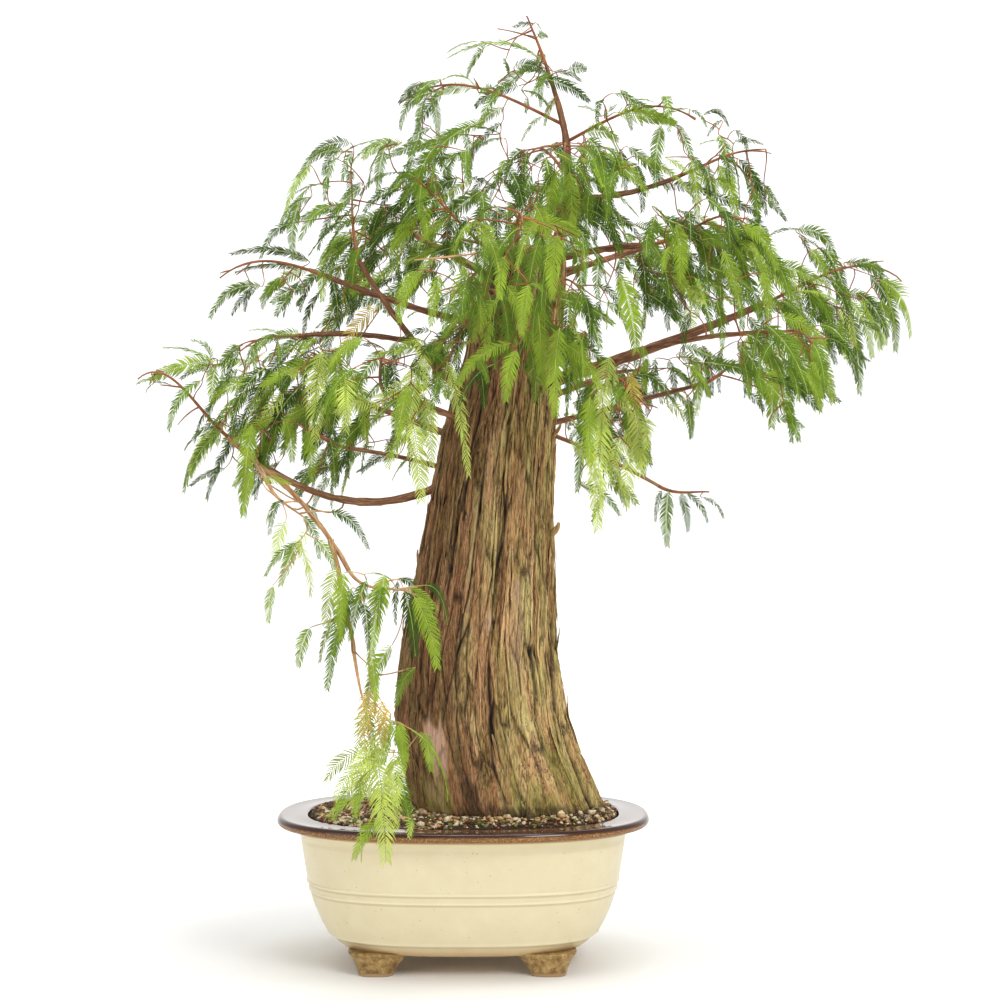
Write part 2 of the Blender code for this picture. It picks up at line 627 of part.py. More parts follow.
def stem_path(mass, limbs):
    """The stem: out of its bough's tip or trunk, over the top of its space, and down."""
    centre, half = Vector(mass.centre), Vector(mass.half)
    limb = limbs[mass.parent]
    if mass.at is None:
        first = limb.tip_direction()
        start = limb.points[-1] + first * GAP
    else:
        middle = limb.middle(mass.at)
        level = Vector((centre.x - middle.x, centre.y - middle.y, 0.0)).normalized()
        first = (level + Vector((0.0, 0.0, STEM_LIFT))).normalized()
        start = middle + level * limb.buried(mass.at)
    outward = Vector((centre.x - start.x, centre.y - start.y, 0.0)).normalized()
    parts = STEM_ENDS.get(mass.name, (outward.x * STEM_OUT, outward.y * STEM_OUT, STEM_UP))
    end = centre + Vector([part * size for part, size in zip(parts, half)])
    if end.z > start.z + STEM_CLIMB * half.z:
        last = (end - start).normalized()
    else:
        last = (outward + Vector((0.0, 0.0, STEM_FALL))).normalized()
    points = arc(start, first, end, last, STEM_STATIONS)
    points.insert(1, start + first * STEM_NECK)
    radii = np.interp(np.linspace(0.0, 1.0, len(points)), (0.0, 1.0), STEM_RADII)
    return points, radii


def build_stems(collection, limbs):
    """The stem of every mass, so that foliage can keep clear of them all."""
    stems = {}
    for mass in MASSES:
        points, radii = stem_path(mass, limbs)
        obj = add_object(mass.name, tube(mass.name, points, radii, 0), collection)
        if mass.at is not None:
            cut_by(obj, limbs[mass.parent].cutter)
            mesh = baked(obj)
            obj.modifiers.clear()
            obj.data = mesh
        obj.data.materials.append(make_material_copy("cypress_green", mass.name))
        stems[mass.name] = (obj, Limb(points, radii))
    return stems


def spray_rib(root, first, length, droop):
    """Points and directions of a spray's rib, which leaves along first and bends down."""
    down = Vector((0.0, 0.0, -1.0))
    bend, reach = SPRAY_BEND
    fine = []
    point = root.copy()
    for k in range(SPRAY_STEPS + 1):
        lean = min(SPRAY_PLUMB, droop * (bend + k / reach))
        way = first.lerp(down, lean).normalized()
        fine.append((point.copy(), way))
        point = point + way * length / SPRAY_STEPS
    rib, ways = [], []
    for s in (*np.linspace(0.0, SPRAY_END, SPRAY_TEETH + 1), 1.0):
        index = min(int(s * SPRAY_STEPS), SPRAY_STEPS - 1)
        rib.append(fine[index][0].lerp(fine[index + 1][0], s * SPRAY_STEPS - index))
        ways.append(fine[index][1])
    return rib, ways


def spray_width(half_width, s):
    """Half width of a spray at a part of its length."""
    grown = WIDTH_ROOT + (1.0 - WIDTH_ROOT) * min(1.0, s * WIDTH_GROWS)
    return half_width * grown * (1.0 - WIDTH_TAPERS * s)


def spray_mesh(name, root, first, length, facing, droop, extra=0.0):
    """A toothed blade that leaves along first and droops: knife edges, a ridge down each face.

    Each side has equal teeth that point forwards; the blade is thickest along its rib.
    """
    rib, ways = spray_rib(root, first, length, droop)
    stations = np.linspace(0.0, SPRAY_END, SPRAY_TEETH + 1)
    chord = (rib[-1] - rib[0]).normalized()
    flat = (facing - chord * facing.dot(chord)).normalized()
    half_width = length * SPRAY_WIDTH / 2.0 + extra
    vertices = []
    top, under, valley, tooth = [], [], {-1: [], 1: []}, {-1: [], 1: []}
    for k, s in enumerate(stations):
        normal = ways[k].cross(flat).normalized()
        thick = SPRAY_ROOT if k == 0 else np.interp(s, (0.0, 1.0), SPRAY_HALF_THICKNESS)
        gap = SPRAY_ROOT + extra
        if k > 0:
            gap = VALLEY_WIDTH * spray_width(half_width, s)
        top.append(len(vertices))
        vertices.append(rib[k] + normal * (thick + extra))
        under.append(len(vertices))
        vertices.append(rib[k] - normal * (thick + extra))
        for side in (-1, 1):
            valley[side].append(len(vertices))
            vertices.append(rib[k] + flat * side * gap)
    for k in range(SPRAY_TEETH):
        s = stations[k] + TOOTH_PLACE * (stations[k + 1] - stations[k])
        place = rib[k].lerp(rib[k + 1], TOOTH_FORWARD)
        for side in (-1, 1):
            tooth[side].append(len(vertices))
            vertices.append(place + flat * side * spray_width(half_width, s))
    apex = len(vertices)
    vertices.append(rib[-1])
    faces = [(top[0], valley[-1][0], under[0], valley[1][0])]
    for side in (-1, 1):
        for ridge in (top, under):
            for k in range(SPRAY_TEETH):
                v0, v1, tip = valley[side][k], valley[side][k + 1], tooth[side][k]
                faces.append((ridge[k], v0, tip))
                faces.append((ridge[k], tip, ridge[k + 1]))
                faces.append((ridge[k + 1], tip, v1))
            faces.append((ridge[-1], valley[side][-1], apex))
    return mesh_from(name, vertices, faces)


def twig_mesh(name, start, end, radii):
    """A straight three-sided twig."""
    bm = bmesh.new()
    axis = end - start
    turn = axis.to_track_quat("Z", "Y").to_matrix().to_4x4()
    place = Matrix.Translation((start + end) / 2.0) @ turn
    bmesh.ops.create_cone(bm, cap_ends=True, segments=3, radius1=radii[0], radius2=radii[1],
                          depth=axis.length, matrix=place)
    mesh = bpy.data.meshes.new(name)
    bm.to_mesh(mesh)
    bm.free()
    return mesh


def touches(mesh, trees):
    """True where a mesh crosses any of the search trees."""
    tree = tree_of(mesh)
    return any(tree.overlap(other) for other in trees)


def side_twigs(mass, stem, rng):
    """Twigs to left and right of the stem, as long as the space allows."""
    twigs = []
    for k, place in enumerate(TWIG_PLACES):
        base = stem.place(place)
        along = stem.place(min(1.0, place + TWIG_SPAN)) - stem.place(place - TWIG_SPAN)
        along.z = 0.0
        if along.length < TWIG_LEVEL:
            along = Vector((1.0, 0.0, 0.0))
        along.normalize()
        side = Vector((-along.y, along.x, 0.0)) * (1 if k % 2 else -1)
        way = (side + along * rng.uniform(*TWIG_FORWARD)).normalized()
        way.z = rng.uniform(*TWIG_RISE)
        way.normalize()
        length = 0.0
        limit = TWIG_LIMIT[0] + (TWIG_LIMIT[1] - TWIG_LIMIT[0]) * mass.droop
        while inside(mass, base + way * (length + TWIG_STEP), limit) and length < TWIG_LONGEST:
            length += TWIG_STEP
        if length >= TWIG_SHORTEST:
            twigs.append((base, base + way * length * rng.uniform(*TWIG_PART)))
    return twigs


def spray_places(stem, twigs, rng):
    """Roots and first directions of the sprays, the outermost first."""
    places = [(stem.place(TIP_PLACE), stem.tip_direction())]
    for base, end in twigs:
        way = (end - base).normalized()
        places.append((end - way * TWIG_ROOTED, way))
    for k, (base, end) in enumerate(twigs):
        way = (end - base).normalized()
        if (end - base).length > TWIG_FORKED:
            turn = math.radians(FORK_TURN if k % 2 else -FORK_TURN)
            turned = Matrix.Rotation(turn, 3, "Z") @ way
            places.append((base.lerp(end, rng.uniform(*FORK_PLACE)), turned))
    for place in STEM_SPRAYS:
        turn = rng.uniform(0.0, 360.0)
        places.append((stem.place(place), bearing_vector(turn)))
    return places


def fitted_spray(mass, name, root, way, rng, trees):
    """The longest spray at a root that stays in the space and clear of everything."""
    facing = bearing_vector(rng.uniform(0.0, 360.0))
    longest = rng.uniform(*SPRAY_LENGTH)
    for shrink in SPRAY_SHRINKS:
        length = longest * shrink
        if length < SPRAY_LEAST:
            return None
        for turn in SPRAY_TURNS:
            face = Matrix.Rotation(math.radians(turn), 3, "Z") @ facing
            trial = spray_mesh(name, root, way, length, face, mass.droop, SPRAY_CLEARANCE)
            fits = all(inside(mass, vertex.co) for vertex in trial.vertices)
            fits = fits and not touches(trial, trees)
            bpy.data.meshes.remove(trial)
            if fits:
                return spray_mesh(name, root, way, length, face, mass.droop)
    return None


def is_sound(mesh):
    """True where every edge of a mesh has just two faces."""
    bm = bmesh.new()
    bm.from_mesh(mesh)
    sound = all(edge.is_manifold for edge in bm.edges)
    bm.free()
    return sound


def fuse(obj, pieces):
    """Fuse pieces to a stem; a join that comes out open is made again with one spray fewer."""
    stem = obj.data
    while True:
        joined = union_of(obj, pieces)
        if is_sound(joined):
            obj.data = joined
            return
        pieces.pop()
        obj.data = stem


def union_of(obj, pieces):
    """Join closed pieces into an object's mesh with one Boolean union on a collection."""
    bunch = bpy.data.collections.new(obj.name + "_pieces")
    bpy.context.scene.collection.children.link(bunch)
    for k, mesh in enumerate(pieces):
        add_object(obj.name + "_piece_" + str(k), mesh, bunch)
    union = obj.modifiers.new("fuse", "BOOLEAN")
    union.operation = "UNION"
    union.solver = "EXACT"
    union.operand_type = "COLLECTION"
    union.collection = bunch
    mesh = baked(obj)
    obj.modifiers.clear()
    for piece in list(bunch.objects):
        bpy.data.objects.remove(piece)
    bpy.data.collections.remove(bunch)
    drop_scraps(mesh)
    return mesh


def drop_scraps(mesh):
    """Keep the largest shell of a mesh and delete loose scraps and sealed hollows."""
    bm = bmesh.new()
    bm.from_mesh(mesh)
    bmesh.ops.remove_doubles(bm, verts=bm.verts, dist=FUSED_WELD)
    bmesh.ops.triangulate(bm, faces=bm.faces)
    bm.verts.ensure_lookup_table()
    seen, shells = set(), []
    for vertex in bm.verts:
        if vertex in seen:
            continue
        shell, queue = [], [vertex]
        seen.add(vertex)
        while queue:
            here = queue.pop()
            shell.append(here)
            for edge in here.link_edges:
                other = edge.other_vert(here)
                if other not in seen:
                    seen.add(other)
                    queue.append(other)
        shells.append(shell)
    shells.sort(key=len)
    for shell in shells[:-1]:
        bmesh.ops.delete(bm, geom=shell, context="VERTS")
    bm.to_mesh(mesh)
    bm.free()


def build_masses(stems, limb_trees):
    """Twigs and sprays of every mass, each kept to its space and fused to its stem."""
    stem_trees = {name: tree_of(obj.data) for name, (obj, limb) in stems.items()}
    done = []
    for number, mass in enumerate(MASSES):
        rng = np.random.default_rng(700 + number)
        obj, stem = stems[mass.name]
        others = [tree for name, tree in stem_trees.items() if name != mass.name]
        trees = limb_trees + others + done
        twigs = []
        for base, end in side_twigs(mass, stem, rng):
            trial = twig_mesh("trial", base, end, [r + SPRAY_CLEARANCE for r in TWIG_RADII])
            if not touches(trial, trees):
                twigs.append((base, end))
            bpy.data.meshes.remove(trial)
        pieces = [twig_mesh("twig", base, end, TWIG_RADII) for base, end in twigs]
        placed = []
        for root, way in spray_places(stem, twigs, rng):
            if len(placed) == mass.sprays:
                break
            spray = fitted_spray(mass, "spray", root, way, rng, trees + placed)
            if spray:
                pieces.append(spray)
                placed.append(tree_of(spray))
        fuse(obj, pieces)
        obj.data.shade_flat()
        done.append(tree_of(obj.data))


def main():
    """Build the whole plant."""
    clear_scene()
    for name in COLOURS:
        make_material(name)
    collection = new_collection("bald_cypress_bonsai")
    cutters = new_collection("cutters")
    build_pot(collection)
    build_feet(collection)
    build_soil(collection)
    limbs = build_limbs(collection, cutters)
    limb_trees = [tree_of(baked(obj)) for obj in collection.objects]
    stems = build_stems(collection, limbs)
    build_masses(stems, limb_trees)


main()
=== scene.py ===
"""Bald cypress bonsai: bark, boughs, twigs, needles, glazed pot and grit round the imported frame."""

import json
import math
from collections import namedtuple

import bpy
import numpy as np
from bpy.props import (FloatProperty, FloatVectorProperty, IntProperty,
                       PointerProperty)
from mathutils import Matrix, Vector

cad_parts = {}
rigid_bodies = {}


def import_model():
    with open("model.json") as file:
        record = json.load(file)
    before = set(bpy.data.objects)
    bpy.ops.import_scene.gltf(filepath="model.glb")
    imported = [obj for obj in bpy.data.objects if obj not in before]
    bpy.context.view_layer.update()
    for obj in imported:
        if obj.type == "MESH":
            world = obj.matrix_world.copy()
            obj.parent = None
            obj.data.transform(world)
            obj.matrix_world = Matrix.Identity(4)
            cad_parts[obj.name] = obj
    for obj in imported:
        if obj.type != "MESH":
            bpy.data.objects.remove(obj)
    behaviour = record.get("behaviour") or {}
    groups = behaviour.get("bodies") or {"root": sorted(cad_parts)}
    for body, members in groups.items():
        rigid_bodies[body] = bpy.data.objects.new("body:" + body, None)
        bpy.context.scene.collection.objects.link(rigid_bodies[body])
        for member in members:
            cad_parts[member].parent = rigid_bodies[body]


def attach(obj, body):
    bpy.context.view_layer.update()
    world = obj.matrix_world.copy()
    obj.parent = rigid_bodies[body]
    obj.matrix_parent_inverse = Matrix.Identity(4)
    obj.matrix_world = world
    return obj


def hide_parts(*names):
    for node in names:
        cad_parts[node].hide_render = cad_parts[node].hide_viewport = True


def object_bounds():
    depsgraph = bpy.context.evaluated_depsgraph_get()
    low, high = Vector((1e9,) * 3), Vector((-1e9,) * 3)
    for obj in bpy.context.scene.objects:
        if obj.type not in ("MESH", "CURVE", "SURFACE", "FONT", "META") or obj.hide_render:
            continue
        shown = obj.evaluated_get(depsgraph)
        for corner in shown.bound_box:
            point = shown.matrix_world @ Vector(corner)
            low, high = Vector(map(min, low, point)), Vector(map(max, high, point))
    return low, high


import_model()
CAD_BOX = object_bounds()

bl_info = {
    "name": "Bald cypress bonsai",
    "version": (1, 0, 0),
    "blender": (4, 5, 0),
    "location": "3D View > Sidebar > Cypress",
    "description": "Dresses the packed bald cypress bonsai with bark, foliage, glaze and grit",
    "category": "Object",
}

MM = 0.001                        # a millimetre in metres

# ---------------------------------------------------------------- the frame's own sizes
GAP = 0.0003                      # clearance between the soil and the trunk's cut
POT_X = -0.0556                   # the pot's centre, left of the plant's middle
RIM_HALF_LENGTH = 0.170
RIM_HALF_DEPTH = 0.1326
RIM_TOP = 0.1365
RIM_ROLL = 0.0085                 # thickness of the rolled lip
LEDGE = 0.028                     # width of the flat rim
DEPTH_FOLLOWS = 0.9               # how much the short side draws in as the long one does
BODY_SQUARENESS = 2.8             # exponent of the plan's superellipse, 2 is an ellipse
RIM_SQUARENESS = 2.45
SOIL_TOP = 0.1420                 # height of the soil under the trunk
SOIL_EDGE = 0.1330                # height of the soil at the pot's wall
TRUNK_FOOT = SOIL_TOP + GAP
# the trunk's sections: height over its foot, lean in X and half width
TRUNK_ROWS = np.array((
    (0.000, -0.0140, 0.0890), (0.010, -0.0185, 0.0880), (0.023, -0.0225, 0.0868),
    (0.048, -0.0308, 0.0832), (0.083, -0.0395, 0.0800), (0.142, -0.0420, 0.0720),
    (0.213, -0.0355, 0.0640), (0.288, -0.0293, 0.0563), (0.344, -0.0226, 0.0520),
    (0.418, -0.0097, 0.0428), (0.474, -0.0010, 0.0396), (0.500, 0.0040, 0.0350),
    (0.512, 0.0060, 0.0270)))
TRUNK_HEIGHT = TRUNK_ROWS[-1, 0]
TRUNK_DEPTH = 0.92                # the trunk's depth over its width
# bearing and width in degrees, and strength as a part of the half width
BUTTRESSES = ((352, 16, 0.10), (306, 15, 0.08), (262, 13, 0.05), (222, 16, 0.06),
              (150, 17, 0.06), (98, 15, 0.07), (48, 16, 0.08))
FLUTE_FADE = 0.106                # height over which the buttresses sink into the trunk
FLUTE_LEFT = 0.28                 # part of them that runs on up the bark
# bearing in degrees, and depth as a part of the half width
FURROWS = ((15.0, 0.045), (45.0, 0.050), (82.5, 0.045), (105.0, 0.040), (135.0, 0.050),
           (165.0, 0.040), (195.0, 0.045), (217.5, 0.040), (247.5, 0.045), (277.5, 0.055),
           (315.0, 0.045), (337.5, 0.040))
FURROW_WIDTH = 7.0                # in degrees
FURROW_TWIST = 8.0                # how far the furrows wind round by the chopped top
LEADER_FOOT = 0.0300              # X of the leader's foot
LEADER_RISE = 0.1690
LEADER_LEAN = -0.0100
LEADER_BOW = 0.0150
LEADER_RADII = (0.0056, 0.0016)
FOOT_DEPTH = 0.55                 # a bough's foot starts this far out in the trunk's radius
BOUGH_TAPER = 0.8                 # power by which a bough thins from foot to tip

# a bough: what it grows on and where along it, its bearing, level reach, rise, arch and sweep
# to one side, and the radii of its ends
Bough = namedtuple("Bough", "name parent at bearing reach rise arch sweep foot tip")
BOUGHS = [Bough(*row) for row in (
    ("right_main", "trunk", 0.520, -5, 0.228, 0.078, -0.004, 0.004, 0.0062, 0.0032),
    ("right_shoot", "right_main", 0.50, -38, 0.130, 0.010, 0.004, 0.0, 0.0026, 0.0020),
    ("right_low", "trunk", 0.480, 15, 0.198, 0.052, 0.000, 0.005, 0.0030, 0.0020),
    ("right_drop", "trunk", 0.497, -12, 0.146, -0.062, 0.006, 0.0, 0.0020, 0.0016),
    ("right_upper", "trunk", 0.636, -29, 0.122, 0.014, 0.004, 0.0, 0.0040, 0.0024),
    ("right_shoulder", "leader", 0.700, 3, 0.106, 0.022, -0.006, 0.0, 0.0030, 0.0020),
    ("left_upper", "trunk", 0.575, 178, 0.170, 0.052, -0.004, 0.006, 0.0034, 0.0024),
    ("left_rise", "trunk", 0.500, 204, 0.140, 0.136, -0.020, 0.0, 0.0036, 0.0022),
    ("left_middle", "left_rise", 0.52, 186, 0.098, 0.006, 0.004, 0.0, 0.0026, 0.0020),
    ("left_inner", "trunk", 0.478, 214, 0.122, 0.040, 0.004, 0.0, 0.0030, 0.0020),
    ("left_thin", "trunk", 0.437, 163, 0.140, 0.034, 0.004, 0.0, 0.0022, 0.0018),
    ("left_low", "trunk", 0.470, 187, 0.246, 0.010, -0.054, 0.0, 0.0042, 0.0026),
    ("cascade", "left_low", 0.93, 297, 0.060, -0.030, 0.004, 0.0, 0.0028, 0.0024),
    ("cascade_lower", "cascade", 0.62, 322, 0.108, -0.090, 0.012, 0.0, 0.0024, 0.0020),
    ("cascade_drop", "cascade_lower", 0.80, 300, 0.046, -0.094, 0.008, 0.0, 0.0020, 0.0018),
    ("front_high", "trunk", 0.606, 268, 0.150, 0.040, 0.006, 0.0, 0.0040, 0.0024),
    ("front_right", "trunk", 0.505, 315, 0.106, 0.030, 0.004, 0.0, 0.0030, 0.0020),
    ("back_low_left", "trunk", 0.466, 138, 0.170, 0.050, 0.000, 0.0, 0.0042, 0.0024),
    ("back_low_right", "trunk", 0.500, 52, 0.165, 0.045, 0.000, 0.0, 0.0042, 0.0024),
    ("back_middle", "trunk", 0.546, 94, 0.155, 0.060, 0.000, 0.0, 0.0042, 0.0024),
    ("back_upper_left", "trunk", 0.612, 142, 0.140, 0.070, 0.000, 0.0, 0.0040, 0.0024),
    ("back_upper_right", "trunk", 0.620, 38, 0.160, 0.050, 0.000, 0.0, 0.0040, 0.0024),
)]
# a mass of foliage: what its stem grows on and where along it, its space, and how far its
# sprays droop
Mass = namedtuple("Mass", "name parent at centre half droop")
MASSES = [Mass(*row) for row in (
    ("top", "leader_tip", None, (-0.010, 0.000, 0.820), (0.080, 0.058, 0.053), 0.3),
    ("top_left", "leader", 0.768, (-0.062, -0.020, 0.758), (0.066, 0.058, 0.058), 0.8),
    ("top_right", "leader", 0.752, (0.100, -0.024, 0.732), (0.074, 0.062, 0.078), 0.9),
    ("right_shoulder", "right_shoulder", None, (0.190, 0.002, 0.702), (0.060, 0.064, 0.076), 1.0),
    ("upper_centre", "leader", 0.715, (0.035, -0.094, 0.685), (0.060, 0.064, 0.064), 1.0),
    ("upper_left", "trunk", 0.632, (-0.066, -0.076, 0.672), (0.058, 0.064, 0.072), 1.0),
    ("dome_left", "left_rise", None, (-0.150, -0.045, 0.693), (0.080, 0.066, 0.074), 0.9),
    ("left_upper", "left_upper", None, (-0.226, 0.014, 0.604), (0.074, 0.062, 0.060), 0.8),
    ("left_middle", "left_middle", None, (-0.212, -0.056, 0.526), (0.060, 0.060, 0.066), 1.0),
    ("left_inner", "left_inner", None, (-0.122, -0.112, 0.508), (0.052, 0.060, 0.068), 1.0),
    ("left_thin", "left_thin", None, (-0.218, 0.056, 0.472), (0.060, 0.056, 0.068), 1.0),
    ("left_low", "left_low", None, (-0.286, -0.026, 0.490), (0.070, 0.062, 0.092), 1.0),
    ("cascade_upper", "cascade", None, (-0.200, -0.112, 0.356), (0.052, 0.050, 0.086), 1.0),
    ("cascade_middle", "cascade_lower", None, (-0.118, -0.144, 0.308), (0.054, 0.048, 0.066), 1.0),
    ("cascade_low", "cascade_drop", None, (-0.124, -0.184, 0.190), (0.044, 0.044, 0.078), 1.0),
    ("front_left", "trunk", 0.572, (-0.052, -0.132, 0.560), (0.050, 0.060, 0.066), 1.0),
    ("front_right", "trunk", 0.590, (0.038, -0.122, 0.562), (0.048, 0.060, 0.068), 1.0),
    ("front_high", "front_high", None, (-0.006, -0.200, 0.618), (0.070, 0.058, 0.062), 1.0),
    ("right_inner", "front_right", None, (0.080, -0.102, 0.464), (0.050, 0.056, 0.084), 1.0),
    ("right_upper", "right_upper", None, (0.152, -0.096, 0.634), (0.064, 0.062, 0.060), 1.0),
    ("right_tip", "right_main", None, (0.276, -0.014, 0.580), (0.084, 0.068, 0.096), 1.0),
    ("right_shoot", "right_shoot", None, (0.224, -0.112, 0.528), (0.058, 0.058, 0.064), 1.0),
    ("right_low", "right_low", None, (0.182, 0.066, 0.524), (0.058, 0.058, 0.056), 1.0),
    ("right_lone", "right_drop", None, (0.152, -0.034, 0.408), (0.050, 0.044, 0.048), 0.8),
    ("back_low_left", "back_low_left", None, (-0.168, 0.150, 0.484), (0.070, 0.066, 0.070), 1.0),
    ("back_low_right", "back_low_right", None, (0.106, 0.156, 0.506), (0.070, 0.064, 0.068), 1.0),
    ("back_middle", "back_middle", None, (-0.024, 0.196, 0.580), (0.072, 0.064, 0.070), 1.0),
    ("back_upper_left", "back_upper_left", None, (-0.126, 0.108, 0.648), (0.070, 0.064, 0.068), 1.0),
    ("back_upper_right", "back_upper_right", None, (0.152, 0.120, 0.644), (0.070, 0.064, 0.068), 1.0),
    ("back_top", "leader", 0.722, (0.014, 0.100, 0.720), (0.068, 0.064, 0.064), 0.8),
)]
# where a stem ends, from its space's centre in parts of the space's half sizes
STEM_ENDS = {"top": (0.15, 0.0, 0.94), "left_low": (-0.93, 0.0, 0.46),
             "right_tip": (0.84, 0.0, 0.44), "cascade_low": (0.0, 0.0, 0.50),
             "right_lone": (0.70, 0.0, 0.30)}
STEM_OUT, STEM_UP = 0.78, 0.42    # where all other stems end: outwards and up
STEM_LIFT = 0.45                  # rise per length of a stem as it leaves the trunk
STEM_FALL = -0.8                  # and as it ends, unless its end is high
STEM_CLIMB = 0.6                  # an end this many half heights above its start is high
ARC_PULL = 0.4                    # how far along its length a stem keeps its first heading
SPACE_SQUARENESS = 2.6            # exponent of a space's superellipsoid

# ---------------------------------------------------------------- how the foliage is dealt out
TINT_NAMES = ("bright", "green", "deep", "pale", "gold")
# what part of a mass's grown sprays has each tint, usually and in the masses that differ; deep is
# painted shade, most in the upper and back masses
USUAL_TINTS = (0.30, 0.48, 0.20, 0.02, 0.00)
TINTS = {
    "cascade_low": (0.16, 0.02, 0.00, 0.60, 0.22),
    "cascade_middle": (0.55, 0.12, 0.03, 0.28, 0.02),
    "cascade_upper": (0.50, 0.20, 0.02, 0.24, 0.04),
    "right_inner": (0.32, 0.06, 0.02, 0.58, 0.02),
    "left_inner": (0.42, 0.20, 0.08, 0.26, 0.04),
    "left_middle": (0.40, 0.34, 0.14, 0.09, 0.03),
    "left_low": (0.34, 0.44, 0.17, 0.05, 0.00),
    "front_left": (0.46, 0.38, 0.12, 0.02, 0.02),
    "front_right": (0.44, 0.40, 0.14, 0.02, 0.00),
    "front_high": (0.50, 0.40, 0.08, 0.02, 0.00),
    "right_tip": (0.40, 0.42, 0.14, 0.04, 0.00),
    "dome_left": (0.14, 0.50, 0.36, 0.00, 0.00),
    "upper_left": (0.16, 0.50, 0.34, 0.00, 0.00),
    "upper_centre": (0.16, 0.50, 0.34, 0.00, 0.00),
    "right_shoulder": (0.14, 0.50, 0.36, 0.00, 0.00),
    "top": (0.08, 0.60, 0.32, 0.00, 0.00),
    "top_left": (0.12, 0.56, 0.32, 0.00, 0.00),
    "back": (0.16, 0.46, 0.36, 0.02, 0.00),
}
